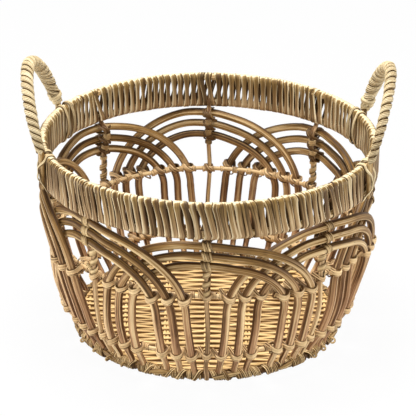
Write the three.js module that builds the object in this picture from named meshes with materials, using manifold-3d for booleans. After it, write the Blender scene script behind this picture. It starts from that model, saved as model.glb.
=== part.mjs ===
// A round open-work basket of bent rattan rods, bound with split cane, with two loop handles.
//
// Millimetres, +Z up. The origin is the middle of the foot, on the surface that the basket
// stands on. The front is towards -Y and the handles are at the left and the right.
// Every place on the basket is given as an angle in degrees (0 at the front, 90 at +X),
// a radius from the basket's axis and a height.

import * as THREE from 'three';
import { mergeVertices } from 'three/addons/utils/BufferGeometryUtils.js';
import Module from 'manifold-3d';

const wasm = await Module();
wasm.setup();

// Rim: two hoops, one above the other, wound together with cane
const rimRadius = 185;
const hoopDiameter = 8;
const upperHoopHeight = 225.5;
const lowerHoopHeight = 193.5;

// Wall: groups of concentric arches, each with one upright stake behind its crowns
const archesPerGroup = 3;
const rodDiameter = 8.8;
const stakeDiameter = 5.4;
const crownInset = 3;
const crownBelowRim = 2.2;
const springHeight = 92.5;
const stakeToLegAngle = 6.8;
const legAngleStep = 5.4;
const legDrift = 1.2;
const layerTurnAngle = 10;
const layerTopHeight = 118;
const layerEndHeight = 60;

// The groups differ a little: how far the outer crown sits from its even height, how far
// apart the crowns are, and how many degrees their tops lean to one side of the stake
const groups = [
  { lift: -3, spacing: 11.7, lean: 0, squareness: 2.15 },
  { lift: -3, spacing: 13.2, lean: 0, squareness: 2.1 },
  { lift: -1.5, spacing: 14, lean: 0, squareness: 2 },
  { lift: -2.1, spacing: 15, lean: -2, squareness: 2 },
  { lift: 0.3, spacing: 14.3, lean: 3, squareness: 1.9 },
  { lift: 0.3, spacing: 14.1, lean: 2, squareness: 1.85 },
  { lift: 0, spacing: 13.6, lean: 0, squareness: 2 },
  { lift: 0.3, spacing: 12, lean: 0, squareness: 2.1 },
];

// Bowl: the wall draws in towards the foot along one curve
const legFootRadius = 151;
const bowlCurve = 3.2;

// Binding rings on the inside of the wall
const ringDiameter = 4.6;
const midRingHeight = 113.5;
const lowerRingHeight = 36.5;

// Foot and floor
const footInset = 3;
const footWidth = 11;
const footHeight = 11;
const footTwist = 0.7;
const footTwistCount = 28;
const footCorner = 0.56;
const footWaist = 0.4;
const spokeBars = 8;
const spokeWidth = 5;
const spokeThickness = 3.2;
const spokeHeight = 3;
const weaveThickness = 4.5;
const weaveRelief = 0.9;
const weaveRowWidth = 11.5;
const weaveHub = 12;

// Handles: the middle of each and half of its span, as angles, and how high its top rises
const handles = {
  left: { side: -1, angle: 93.3, halfSpan: 22.5, rise: 79.5 },
  right: { side: 1, angle: 89, halfSpan: 23.5, rise: 83 },
};
const handleLean = 22.5;
const handleSquareness = 1.85;
const handleCoreDiameter = 10.4;
const handleNeckDiameter = 6.8;
const handleTipDiameter = 4.4;
const handleNeckLength = 45;

// Split cane, a flat strip with a rounded back
const caneThickness = 1.2;
const rimCaneWidth = 9.6;
const rimCanePitch = 11.9;
const handleCaneWidth = 6.2;
const handleTurns = 26;
const lashingWidth = 4.6;
const tieWidth = 5;

// Room left between touching pieces, beside a strip, and more where a strip spans corners
const clearance = 0.35;
const sideClearance = 0.6;
const slack = 0.2;

// How finely curves are divided
const rodSides = 5;
const legSteps = 4;
const archSteps = 12;
const hoopSides = 6;
const hoopSegments = 60;
const ringSides = 4;
const ringSegments = 56;
const coreSides = 6;
const coreArchSteps = 16;
const windingStart = 3;
const weaveSpokes = 32;

const DEG = Math.PI / 180;
const groupCount = groups.length;
const groupPitch = 360 / groupCount;
const rodRadius = rodDiameter / 2;
const rodFlat = rodRadius * Math.cos(Math.PI / rodSides);
const stakeRadius = stakeDiameter / 2;
const stakeFlat = stakeRadius * Math.cos(Math.PI / rodSides);
const hoopRadius = hoopDiameter / 2;
const ringRadius = ringDiameter / 2;

// A strip's stations lie on its middle line, and its flat side is this far inside them
const caneBelly = caneThickness * 0.4;
const caneBack = caneThickness - caneBelly;
const caneSeat = caneBelly + clearance;

const canes = {
  rod: new THREE.MeshStandardMaterial({ color: 0x9c7550, roughness: 0.55, metalness: 0 }),
  stake: new THREE.MeshStandardMaterial({ color: 0xb08a60, roughness: 0.6, metalness: 0 }),
  binding: new THREE.MeshStandardMaterial({ color: 0xc8ab7c, roughness: 0.5, metalness: 0 }),
  ring: new THREE.MeshStandardMaterial({ color: 0xc9a075, roughness: 0.6, metalness: 0 }),
  floor: new THREE.MeshStandardMaterial({ color: 0xe2b878, roughness: 0.65, metalness: 0 }),
};

const basket = new THREE.Group();

function addPiece(name, geometry, material) {
  const mesh = new THREE.Mesh(geometry, material);
  mesh.name = name;
  basket.add(mesh);
}

function onBasket(angle, radius, height) {
  return new THREE.Vector3(radius * Math.sin(angle * DEG), -radius * Math.cos(angle * DEG), height);
}

// A direction at an angle round the basket, by its tangential, outward and upward shares
function directionAt(angle, along, outward, upward) {
  const tangent = new THREE.Vector3(Math.cos(angle * DEG), Math.sin(angle * DEG), 0);
  const direction = onBasket(angle, outward, upward).addScaledVector(tangent, along);
  return direction.normalize();
}

function smooth(share) {
  const t = THREE.MathUtils.clamp(share, 0, 1);
  return t * t * (3 - 2 * t);
}

// Joins rings of points, one after another, into one closed body. Each ring runs
// anticlockwise when seen from ahead.
function joinRings(rings, closed) {
  const count = rings[0].length;
  const positions = rings.flat().flatMap((point) => point.toArray());
  const faces = [];
  const spans = closed ? rings.length : rings.length - 1;
  for (let i = 0; i < spans; i++) {
    const here = i * count;
    const there = ((i + 1) % rings.length) * count;
    for (let j = 0; j < count; j++) {
      const next = (j + 1) % count;
      faces.push(here + j, here + next, there + next);
      faces.push(here + j, there + next, there + j);
    }
  }
  if (!closed) {
    const last = (rings.length - 1) * count;
    for (let j = 1; j < count - 1; j++) {
      faces.push(0, j + 1, j);
      faces.push(last, last + j, last + j + 1);
    }
  }
  const geometry = new THREE.BufferGeometry();
  geometry.setAttribute('position', new THREE.Float32BufferAttribute(positions, 3));
  geometry.setIndex(faces);
  geometry.computeVertexNormals();
  return geometry;
}

// At each station { at, out } of a path: the way ahead, the way out and the way across. A
// station that has its own way across keeps it, so a slanting strip still lies flat.
function framesOf(stations, closed) {
  const count = stations.length;
  return stations.map(({ at, out, across }, i) => {
    const after = stations[closed ? (i + 1) % count : Math.min(i + 1, count - 1)].at;
    const before = stations[closed ? (i + count - 1) % count : Math.max(i - 1, 0)].at;
    const ahead = after.clone().sub(before).normalize();
    if (across) {
      return { at, ahead, up: out, across };
    }
    const up = out.clone().addScaledVector(ahead, -out.dot(ahead)).normalize();
    return { at, ahead, up, across: ahead.clone().cross(up) };
  });
}

// A strip of cane through stations { at, out }, where out points away from what it wraps
function caneStrip(stations, width, closed = false) {
  const rings = framesOf(stations, closed).map(({ at, up, across }) => {
    const back = at.clone().addScaledVector(up, caneBack);
    const belly = at.clone().addScaledVector(up, -caneBelly);
    const left = belly.clone().addScaledVector(across, width / 2);
    const right = belly.clone().addScaledVector(across, -width / 2);
    return [back, left, right];
  });
  return joinRings(rings, closed);
}

// A rod through stations { at, out, radius }, with one of its corners on the out side
function bentRod(stations, sides) {
  const rings = framesOf(stations, false).map(({ at, up, across }, i) => {
    const corners = [];
    for (let j = 0; j < sides; j++) {
      const turn = (j / sides) * 2 * Math.PI;
      const corner = at.clone().addScaledVector(up, stations[i].radius * Math.cos(turn));
      corners.push(corner.addScaledVector(across, stations[i].radius * Math.sin(turn)));
    }
    return corners;
  });
  return joinRings(rings, false);
}

// A rod bent into a full circle round the basket
function hoop(radius, height, diameter, sides, segments) {
  const profile = [];
  for (let i = 0; i <= sides; i++) {
    const turn = (i / sides) * 2 * Math.PI;
    const out = radius + (diameter / 2) * Math.cos(turn);
    profile.push(new THREE.Vector2(out, height + (diameter / 2) * Math.sin(turn)));
  }
  return new THREE.LatheGeometry(profile, segments).rotateX(Math.PI / 2);
}

// Rim section: stops round both hoops, outside the corners of their six sides
const windingReach = hoopRadius + caneSeat + slack;
const rimTop = upperHoopHeight + windingReach * Math.sin(60 * DEG) + caneBack;
const rimUnderside = lowerHoopHeight - windingReach * Math.sin(60 * DEG) - caneBack;

function rimStop(hoopHeight, turn, reach) {
  return {
    radius: rimRadius + reach * Math.cos(turn * DEG),
    height: hoopHeight + reach * Math.sin(turn * DEG),
    outward: Math.cos(turn * DEG),
    upward: Math.sin(turn * DEG),
  };
}

function rimStation(stop, angle) {
  return {
    at: onBasket(angle, stop.radius, stop.height),
    out: directionAt(angle, 0, stop.outward, stop.upward),
    across: directionAt(angle, 1, 0, 0),
  };
}

addPiece('upper_hoop', hoop(rimRadius, upperHoopHeight, hoopDiameter, hoopSides, hoopSegments), canes.rod);
addPiece('lower_hoop', hoop(rimRadius, lowerHoopHeight, hoopDiameter, hoopSides, hoopSegments), canes.rod);

// Wall: crown heights, leg angles and the bowl's curve
const crownRadius = rimRadius - crownInset;
const outerCrownHeight = rimUnderside - crownBelowRim - rodRadius;
const legSlope = (bowlCurve * (crownRadius - legFootRadius)) / (outerCrownHeight - footHeight);
const legFootHeight = footHeight + clearance + rodRadius * Math.sin(Math.atan(legSlope));

function crownHeight(group, ring) {
  return outerCrownHeight + groups[group].lift - ring * groups[group].spacing;
}

function halfAngle(ring) {
  return groupPitch - stakeToLegAngle - ring * legAngleStep;
}

function wallRadius(height) {
  const share = (height - legFootHeight) / (outerCrownHeight - legFootHeight);
  const left = 1 - THREE.MathUtils.clamp(share, 0, 1);
  return crownRadius - (crownRadius - legFootRadius) * left ** bowlCurve;
}

// Where rods cross, the right half of each arch lies outside and the left half inside
const layerOffset = (rodRadius + rodFlat) / 2 + clearance;

function layerAt(angleFromStake, height) {
  const turn = smooth(Math.abs(angleFromStake) / layerTurnAngle);
  const share = smooth((height - layerEndHeight) / (layerTopHeight - layerEndHeight));
  return Math.sign(angleFromStake) * layerOffset * turn * share;
}

// Each half of an arch is part of one curve: an angle of 0 to 90 gives height and angle
function onArch(group, ring, side, turn) {
  const { lean, squareness } = groups[group];
  const power = 2 / squareness;
  const half = halfAngle(ring) - side * lean;
  return {
    height: springHeight + (crownHeight(group, ring) - springHeight) * Math.sin(turn * DEG) ** power,
    angle: lean + side * half * Math.cos(turn * DEG) ** power,
  };
}

// A leg's angle from its own stake
function legAngle(group, ring, side, height) {
  if (height > springHeight) {
    const { lean, squareness } = groups[group];
    const rise = (height - springHeight) / (crownHeight(group, ring) - springHeight);
    const half = halfAngle(ring) - side * lean;
    return lean + side * half * (1 - rise ** squareness) ** (1 / squareness);
  }
  const drop = (springHeight - height) / (springHeight - lowerRingHeight);
  return side * (halfAngle(ring) + (legDrift * drop) / (ring + 1));
}

// Half of an arch, from its foot to just before the crown: angles from the stake
function halfArch(group, ring, side) {
  const stops = [];
  for (let i = 0; i < legSteps; i++) {
    const height = THREE.MathUtils.lerp(legFootHeight, springHeight, i / legSteps);
    stops.push({ height, angle: legAngle(group, ring, side, height) });
  }
  for (let i = 0; i < archSteps / 2; i++) {
    stops.push(onArch(group, ring, side, (i / (archSteps / 2)) * 90));
  }
  return stops;
}

// How high an arch crosses its stake, which is just below the crown where the top leans
function crossingHeight(group, ring) {
  const { lean, squareness } = groups[group];
  const away = Math.abs(lean) / (halfAngle(ring) + Math.abs(lean));
  const share = (1 - away ** squareness) ** (1 / squareness);
  return springHeight + (crownHeight(group, ring) - springHeight) * share;
}

function archStations(group, ring) {
  const { lean } = groups[group];
  const tops = [{ height: crossingHeight(group, ring), angle: 0 }];
  if (lean !== 0) {
    tops.push({ height: crownHeight(group, ring), angle: lean });
  }
  const left = halfArch(group, ring, -1);
  const right = halfArch(group, ring, 1).reverse();
  const stops = [...left, ...tops.sort((a, b) => a.angle - b.angle), ...right];
  return stops.map(({ height, angle }) => {
    const radius = wallRadius(height) + layerAt(angle, height);
    const turn = group * groupPitch + angle;
    return { at: onBasket(turn, radius, height), out: directionAt(turn, 0, 1, 0), radius: rodRadius };
  });
}

for (let group = 0; group < groupCount; group++) {
  for (let ring = 0; ring < archesPerGroup; ring++) {
    const size = ['outer', 'middle', 'inner'][ring] ?? `inner_${ring}`;
    const stations = archStations(group, ring);
    addPiece(`arch_${size}_${group + 1}`, bentRod(stations, rodSides), canes.rod);
  }
}

// Binding rings, just inside the innermost legs that they pass
function ringRadiusAt(height) {
  const innermost = wallRadius(height) - Math.abs(layerAt(groupPitch, height)) - rodFlat;
  return innermost - clearance - ringRadius;
}

for (const [name, height] of [['mid_ring', midRingHeight], ['lower_ring', lowerRingHeight]]) {
  const ring = hoop(ringRadiusAt(height), height, ringDiameter, ringSides, ringSegments);
  addPiece(name, ring, canes.ring);
}

// Stakes: outside the rings, behind the crowns and up between the turns of the rim
const stakeBehindCrown = rodFlat + stakeRadius + 2 * clearance;
const stakeRimRadius = rimRadius - hoopRadius - stakeRadius - clearance;
const stakeBottom = footHeight + 2 * clearance;
const stakeTop = upperHoopHeight - hoopRadius;

function stakeStops(group) {
  const besideRing = (height) => ringRadiusAt(height) + ringRadius + clearance + stakeFlat;
  const betweenRings = (lowerRingHeight + midRingHeight) / 2;
  const innerCrown = crossingHeight(group, archesPerGroup - 1);
  return [
    [stakeBottom, wallRadius(stakeBottom) - clearance],
    [lowerRingHeight, besideRing(lowerRingHeight)],
    [betweenRings, besideRing(betweenRings)],
    [midRingHeight, besideRing(midRingHeight)],
    [innerCrown - rodRadius, wallRadius(innerCrown) - stakeBehindCrown],
    [outerCrownHeight + rodRadius, crownRadius - stakeBehindCrown],
    [lowerHoopHeight - hoopRadius, stakeRimRadius],
    [stakeTop, stakeRimRadius],
  ];
}

for (let group = 0; group < groupCount; group++) {
  const angle = group * groupPitch;
  const stations = stakeStops(group).map(([height, radius]) => ({
    at: onBasket(angle, radius, height),
    out: directionAt(angle, 0, 1, 0),
    radius: stakeRadius,
  }));
  addPiece(`stake_${group + 1}`, bentRod(stations, rodSides), canes.stake);
}

// Crown lashings: one strip goes down round all three crowns and the stake behind them. It
// rises slanting over the front of each crown and goes down slanting behind the stake.
function crownLashing(group) {
  const stakeAngle = group * groupPitch;
  const seat = rodRadius + caneSeat + slack;
  const beside = stakeRadius + lashingWidth / 2 + sideClearance;
  const behind = -(stakeBehindCrown + stakeRadius + caneSeat);
  const stations = [];
  const add = (height, along, outward, rise, facing) => {
    const radius = wallRadius(height) + outward;
    const angle = stakeAngle + along / radius / DEG;
    stations.push({
      at: onBasket(angle, radius, height + rise),
      out: directionAt(stakeAngle, 0, facing[0], facing[1]),
      across: directionAt(stakeAngle, 1, 0, 0),
    });
  };
  for (let ring = 0; ring < archesPerGroup; ring++) {
    const height = crossingHeight(group, ring);
    const isLast = ring === archesPerGroup - 1;
    add(height, -beside / 2, seat, -seat / 2, [1, -0.4]);
    add(height, beside / 2, seat, seat / 2, [1, 0.4]);
    add(height, beside, rodRadius / 3, seat, [0.35, 1]);
    add(height, beside, behind, seat / 2, [-1, 0.6]);
    if (isLast) {
      add(height, 0, behind, -seat, [-1, -0.2]);
    } else {
      const drop = height - crossingHeight(group, ring + 1);
      add(height, -beside, behind, -seat * 0.6 - drop, [-1, -0.6]);
      add(height, -beside, rodRadius / 3, -seat * 1.12 - drop, [0.35, -1]);
    }
  }
  return caneStrip(stations, lashingWidth);
}

for (let group = 0; group < groupCount; group++) {
  addPiece(`crown_lashing_${group + 1}`, crownLashing(group), canes.binding);
}

// Handles: a rod whose pared ends stand against the outside of both hoops
const handleFootRadius = rimRadius + hoopRadius + clearance;
const tipHeight = lowerHoopHeight - hoopRadius;
const neckHeight = rimTop + 2 * clearance;

function coreRadiusAt(height) {
  if (height < neckHeight) {
    const share = (height - tipHeight) / (neckHeight - tipHeight);
    return THREE.MathUtils.lerp(handleTipDiameter, handleNeckDiameter, share) / 2;
  }
  const share = smooth((height - neckHeight) / handleNeckLength);
  return THREE.MathUtils.lerp(handleNeckDiameter, handleCoreDiameter, share) / 2;
}

function handleStations({ side, angle, halfSpan, rise }) {
  const middle = side * angle;
  const tangent = directionAt(middle, 1, 0, 0);
  const outward = directionAt(middle, 0, 1, 0);
  const neckRadius = handleFootRadius + coreRadiusAt(neckHeight);
  const halfWidth = neckRadius * Math.sin(halfSpan * DEG);
  const chord = neckRadius * Math.cos(halfSpan * DEG);
  const loopRise = upperHoopHeight + rise - neckHeight;
  const place = (along, height) => {
    const lean = handleLean * ((height - neckHeight) / loopRise);
    const at = tangent.clone().multiplyScalar(along).addScaledVector(outward, chord + lean);
    return { at: at.setZ(height), out: outward, radius: coreRadiusAt(height) };
  };
  const foot = (end) => [tipHeight, (tipHeight + neckHeight) / 2].map((height) => {
    const radius = handleFootRadius + coreRadiusAt(height);
    const at = onBasket(middle + end * halfSpan, radius, height);
    return { at, out: outward, radius: coreRadiusAt(height) };
  });
  const loop = [];
  const power = 2 / handleSquareness;
  for (let i = 0; i <= coreArchSteps; i++) {
    const turn = (i / coreArchSteps) * Math.PI;
    const along = -Math.sign(Math.cos(turn)) * halfWidth * Math.abs(Math.cos(turn)) ** power;
    loop.push(place(along, neckHeight + loopRise * Math.abs(Math.sin(turn)) ** power));
  }
  return [...foot(-1), ...loop, ...foot(1).reverse()];
}

for (const [name, handle] of Object.entries(handles)) {
  addPiece(`handle_core_${name}`, bentRod(handleStations(handle), coreSides), canes.rod);
}

// Handle windings: one unbroken strip from foot to foot, turning on the core's own corners.
// It starts and ends at the core's station just above the neck.
function handleWinding(handle) {
  const core = handleStations(handle);
  const frames = framesOf(core, false);
  const lengths = [0];
  for (let i = 1; i < core.length; i++) {
    lengths.push(lengths[i - 1] + core[i].at.distanceTo(core[i - 1].at));
  }
  const last = core.length - 1 - windingStart;
  const count = handleTurns * coreSides;
  const stations = [];
  for (let k = 0; k <= count; k++) {
    const along = THREE.MathUtils.lerp(lengths[windingStart], lengths[last], k / count);
    const j = lengths.findIndex((length) => length > along);
    const share = (along - lengths[j - 1]) / (lengths[j] - lengths[j - 1]);
    const at = frames[j - 1].at.clone().lerp(frames[j].at, share);
    const up = frames[j - 1].up.clone().lerp(frames[j].up, share);
    const across = frames[j - 1].across.clone().lerp(frames[j].across, share);
    const ahead = frames[j - 1].ahead.clone().lerp(frames[j].ahead, share).normalize();
    const turn = (k / coreSides) * 360 * DEG;
    const out = up.multiplyScalar(Math.cos(turn)).addScaledVector(across, Math.sin(turn));
    const radius = THREE.MathUtils.lerp(core[j - 1].radius, core[j].radius, share);
    at.addScaledVector(out.normalize(), radius + caneSeat + slack);
    stations.push({ at, out, across: ahead.negate() });
  }
  return stations;
}

// Rim winding: one unbroken strip round both hoops. It steps aside for each stake on its
// inner run and for each handle foot on its outer run.
function rimObstacles() {
  const stakes = Array.from({ length: groupCount }, (_, group) => ({
    angle: group * groupPitch,
    phase: 0.5,
    width: stakeDiameter,
    radius: stakeRimRadius,
  }));
  const feet = Object.values(handles).flatMap(({ side, angle, halfSpan }) => [-1, 1].map((end) => ({
    angle: (side * angle + end * halfSpan + 360) % 360,
    phase: 0,
    width: handleNeckDiameter,
    radius: rimRadius,
  })));
  return [...stakes, ...feet].sort((a, b) => a.angle - b.angle);
}

// Pairs of turn number and angle that the winding passes, from one obstacle to the next
function windingKnots() {
  const obstacles = rimObstacles();
  const knots = [];
  let turns = 0;
  obstacles.forEach((obstacle, i) => {
    const next = obstacles[i + 1] ?? { ...obstacles[0], angle: obstacles[0].angle + 360 };
    const half = (o) => (o.width / 2 + rimCaneWidth / 2 + sideClearance) / o.radius / DEG;
    const from = obstacle.angle + half(obstacle);
    const to = next.angle - half(next);
    const phaseStep = (next.phase - obstacle.phase + 1) % 1;
    const pitchAngle = rimCanePitch / rimRadius / DEG;
    const span = Math.max(Math.round((to - from) / pitchAngle - phaseStep), 0) + phaseStep;
    knots.push([turns, from], [turns + span, to]);
    turns += span + 1;
  });
  return { knots, turns, startPhase: obstacles[0].phase };
}

const rimStops = [
  ...[0, 60, 120, 180].map((turn) => rimStop(upperHoopHeight, turn, windingReach)),
  ...[180, 240, 300, 360].map((turn) => rimStop(lowerHoopHeight, turn, windingReach)),
];

function rimWinding() {
  const { knots, turns, startPhase } = windingKnots();
  const angleAt = (turn) => {
    const i = knots.findIndex(([knotTurn]) => knotTurn > turn);
    const [lowTurn, low] = knots[i - 1] ?? knots[knots.length - 1];
    const [highTurn, high] = knots[i] ?? [turns, knots[0][1] + 360];
    return THREE.MathUtils.lerp(low, high, (turn - lowTurn) / (highTurn - lowTurn));
  };
  // Shares of one turn at which the eight stops are passed, from halfway up the outer run
  const shares = [0.02, 0.17, 0.33, 0.48, 0.52, 0.67, 0.83, 0.98];
  const stations = [];
  for (let k = 0; k < turns * rimStops.length; k++) {
    const i = k % rimStops.length;
    const turn = Math.floor(k / rimStops.length) + shares[i] - startPhase;
    stations.push(rimStation(rimStops[i], angleAt((turn + turns) % turns)));
  }
  return stations;
}

// The least gap between a winding's neighbouring turns, less the strip's own width
function leastGap(stations, stepsPerTurn, width, closed) {
  let least = Infinity;
  const count = stations.length;
  for (let i = 0; i < (closed ? count : count - stepsPerTurn); i++) {
    const next = stations[(i + stepsPerTurn) % count].at;
    least = Math.min(least, stations[i].at.distanceTo(next) - width);
  }
  return least;
}

const rimStations = rimWinding();
const rimGap = leastGap(rimStations, rimStops.length, rimCaneWidth, true);
console.log('rim winding: least gap', rimGap.toFixed(2));
addPiece('rim_winding', caneStrip(rimStations, rimCaneWidth, true), canes.binding);

for (const [name, handle] of Object.entries(handles)) {
  const stations = handleWinding(handle);
  const gap = leastGap(stations, coreSides, handleCaneWidth, false);
  console.log(`${name} handle: least gap`, gap.toFixed(2));
  addPiece(`handle_winding_${name}`, caneStrip(stations, handleCaneWidth), canes.binding);
}

// Handle lashings: a closed strip that crosses itself over each foot of a handle and goes
// round both hoops on either side of it
const lashingReach = windingReach + caneBack + caneSeat + slack;
const lashingBeside = handleNeckDiameter / 2 + lashingWidth / 2 + 2 * sideClearance;
const lashingThickness = caneThickness + clearance;

function footLashing(middle) {
  const stations = [];
  const add = (stop, along) => {
    const angle = middle + along / stop.radius / DEG;
    const at = onBasket(angle, stop.radius, stop.height);
    stations.push({ at, out: directionAt(middle, 0, stop.outward, stop.upward) });
  };
  for (const end of [-1, 1]) {
    const lift = end < 0 ? 0 : lashingThickness;
    add(rimStop(upperHoopHeight, 0, lashingReach), end * lashingBeside);
    for (const share of [0.25, 0.5, 0.75]) {
      const height = THREE.MathUtils.lerp(upperHoopHeight, lowerHoopHeight, share);
      const radius = handleFootRadius + 2 * coreRadiusAt(height) + caneSeat + slack + lift;
      add({ radius, height, outward: 1, upward: 0 }, end * lashingBeside * (1 - 2 * share));
    }
    for (const turn of [0, -60, -120, -180]) {
      add(rimStop(lowerHoopHeight, turn, lashingReach), -end * lashingBeside);
    }
    for (const turn of [180, 120, 60]) {
      add(rimStop(upperHoopHeight, turn, lashingReach), -end * lashingBeside);
    }
  }
  return caneStrip(stations, lashingWidth, true);
}

for (const [name, { side, angle, halfSpan }] of Object.entries(handles)) {
  for (const [place, end] of [['front', -1], ['rear', 1]]) {
    const foot = side * (angle + end * halfSpan);
    addPiece(`handle_lashing_${name}_${place}`, footLashing(foot), canes.binding);
  }
}

// Ring ties: a closed strip that goes out over every upright and back in to the ring
function uprightsAt(height) {
  const edges = [height - tieWidth / 2, height + tieWidth / 2];
  const flare = wallRadius(edges[1]) - wallRadius(height);
  const stakeLine = ringRadiusAt(height) + ringRadius + clearance + stakeFlat + flare;
  const uprights = [];
  for (let group = 0; group < groupCount; group++) {
    const crown = group * groupPitch;
    uprights.push({ from: crown, to: crown, radius: stakeLine, half: stakeRadius });
    for (let ring = 0; ring < archesPerGroup; ring++) {
      for (const side of [-1, 1]) {
        const angles = edges.map((edge) => (crown + legAngle(group, ring, side, edge) + 360) % 360);
        const layer = layerAt(side * halfAngle(ring), height);
        const radius = wallRadius(height) + layer + flare;
        uprights.push({ from: Math.min(...angles), to: Math.max(...angles), radius, half: rodRadius });
      }
    }
  }
  return uprights.sort((a, b) => a.from - b.from);
}

function ringTie(height) {
  const uprights = uprightsAt(height);
  const valley = ringRadiusAt(height) + ringRadius + caneSeat;
  const stations = [];
  const add = (angle, radius) => {
    stations.push({
      at: onBasket(angle, radius, height),
      out: directionAt(angle, 0, 1, 0),
      across: new THREE.Vector3(0, 0, -1),
    });
  };
  uprights.forEach(({ from, to, radius, half }, i) => {
    const next = uprights[i + 1] ?? { from: uprights[0].from + 360 };
    const outside = radius + half + caneSeat;
    const beside = (half + sideClearance) / outside / DEG;
    add(from - beside, outside);
    add(to + beside, outside);
    add((to + next.from) / 2, valley);
  });
  return caneStrip(stations, tieWidth, true);
}

addPiece('mid_ring_tie', ringTie(midRingHeight), canes.binding);
addPiece('lower_ring_tie', ringTie(lowerRingHeight), canes.binding);

// Foot: a border of twisted cane with a flat underside, which the legs stand on
const footRadius = legFootRadius - footInset;

function footBorder() {
  const rings = [];
  for (let i = 0; i < 2 * footTwistCount; i++) {
    const angle = (i / footTwistCount) * 180;
    const swell = i % 2 === 0 ? footTwist : -footTwist;
    const corner = (footCorner * footWidth) / 2;
    const waist = footWaist * footHeight;
    const section = [
      [-footWidth / 2, waist],
      [-corner, footHeight],
      [corner, footHeight - footTwist + swell],
      [footWidth / 2 + swell, waist],
      [corner, 0],
      [-corner, 0],
    ];
    rings.push(section.map(([outward, height]) => onBasket(angle, footRadius + outward, height)));
  }
  return joinRings(rings, true);
}

addPiece('foot_border', footBorder(), canes.floor);

// Floor: crossed flat sticks, and the weave that lies on them
const floorRadius = footRadius - footWidth / 2 - 2 * clearance;

function solidOf(geometry) {
  geometry.deleteAttribute('normal');
  geometry.deleteAttribute('uv');
  const merged = mergeVertices(geometry);
  const vertProperties = new Float32Array(merged.attributes.position.array);
  const triVerts = new Uint32Array(merged.index.array);
  return new wasm.Manifold(new wasm.Mesh({ numProp: 3, vertProperties, triVerts }));
}

function geometryOf(solid) {
  const { vertProperties, triVerts } = solid.getMesh();
  const geometry = new THREE.BufferGeometry();
  geometry.setAttribute('position', new THREE.Float32BufferAttribute(vertProperties, 3));
  geometry.setIndex(Array.from(triVerts));
  geometry.computeVertexNormals();
  return geometry;
}

function floorSpokes() {
  const bars = Array.from({ length: spokeBars }, (_, i) => {
    const bar = new THREE.BoxGeometry(2 * floorRadius, spokeWidth, spokeThickness);
    bar.rotateZ((i / spokeBars) * Math.PI);
    return solidOf(bar.translate(0, 0, spokeHeight + spokeThickness / 2));
  });
  return geometryOf(bars.reduce((star, bar) => star.add(bar)));
}

function floorWeave() {
  const underside = spokeHeight + spokeThickness + clearance;
  const ringAt = (radius, heightOf) => Array.from({ length: weaveSpokes }, (_, j) => (
    onBasket((j / weaveSpokes) * 360, radius, heightOf(j))
  ));
  const top = underside + weaveThickness;
  const rings = [ringAt(floorRadius, () => underside)];
  const rows = Math.floor((floorRadius - weaveHub) / weaveRowWidth);
  for (let row = 0; row <= rows; row++) {
    const wave = (j) => top - weaveRelief * ((row + j) % 2 === 0 ? 0 : 1);
    rings.push(ringAt(floorRadius - row * weaveRowWidth, wave));
  }
  return joinRings(rings, false);
}

addPiece('floor_spokes', floorSpokes(), canes.floor);
addPiece('floor_weave', floorWeave(), canes.floor);

export default basket;
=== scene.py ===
"""A round open-work basket of bent rattan rods, bound with split cane, with two loop handles.

Metres, +Z up. The front is towards -Y and the handles are at the left and the right. Every
place on the basket is given as an angle in degrees (0 at the front, 90 at +X), a radius
from the basket's axis and a height.
"""

import math
import zlib

import bpy
import numpy as np
from bpy.props import (
    FloatProperty,
    FloatVectorProperty,
    IntProperty,
    IntVectorProperty,
    PointerProperty,
)
from bpy.types import Operator, Panel, PropertyGroup
from mathutils import Matrix, Vector


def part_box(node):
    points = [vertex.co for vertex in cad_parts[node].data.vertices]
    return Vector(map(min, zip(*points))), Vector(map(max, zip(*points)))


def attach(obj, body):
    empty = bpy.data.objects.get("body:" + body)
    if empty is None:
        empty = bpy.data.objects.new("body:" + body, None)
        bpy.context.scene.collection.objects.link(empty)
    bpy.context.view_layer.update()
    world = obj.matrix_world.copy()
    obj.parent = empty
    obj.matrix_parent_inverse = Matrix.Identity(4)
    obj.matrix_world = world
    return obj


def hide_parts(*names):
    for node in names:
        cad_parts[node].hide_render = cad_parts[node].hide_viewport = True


bl_info = {
    "name": "Rattan basket",
    "version": (1, 0, 0),
    "blender": (4, 5, 0),
    "location": "3D Viewport > Sidebar > Basket",
    "description": "Makes a round rattan basket strand by strand, and the stage it stands on",
    "category": "Object",
}

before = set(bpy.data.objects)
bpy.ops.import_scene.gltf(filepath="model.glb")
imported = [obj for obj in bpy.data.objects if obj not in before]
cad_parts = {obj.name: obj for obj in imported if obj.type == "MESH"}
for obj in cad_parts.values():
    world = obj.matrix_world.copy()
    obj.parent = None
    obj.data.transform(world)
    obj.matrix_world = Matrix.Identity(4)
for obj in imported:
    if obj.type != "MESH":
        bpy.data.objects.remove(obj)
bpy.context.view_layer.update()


def middle_height(node):
    lowest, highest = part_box(node)
    return (lowest.z + highest.z) / 2


def outer_radius(node):
    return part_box(node)[1].x


# Diameter of the hoops' rods, and the gap that is left between strands
HOOP_DIAMETER = 0.008
CLEARANCE = 0.00035

# The eight groups of arches differ a little
LIFTS = (-0.003, -0.003, -0.0015, -0.0021, 0.0003, 0.0003, 0, 0.0003)
SPACINGS = (0.0117, 0.0132, 0.014, 0.015, 0.0143, 0.0141, 0.0136, 0.012)
LEANS = (0, 0, 0, -2, 3, 2, 0, 0)
POWERS = (2.15, 2.1, 2, 2, 1.9, 1.85, 2, 2.1)


def length(name, default, description):
    return FloatProperty(
        name=name, default=default, unit="LENGTH", precision=5, description=description
    )


def number(name, default, description):
    return FloatProperty(name=name, default=default, precision=3, description=description)


def numbers(name, default, description, unit="NONE"):
    return FloatVectorProperty(
        name=name,
        size=len(default),
        default=default,
        unit=unit,
        precision=5,
        description=description,
    )


def colour(name, default, description):
    return FloatVectorProperty(
        name=name, default=default, subtype="COLOR", min=0, max=1, description=description
    )


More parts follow.
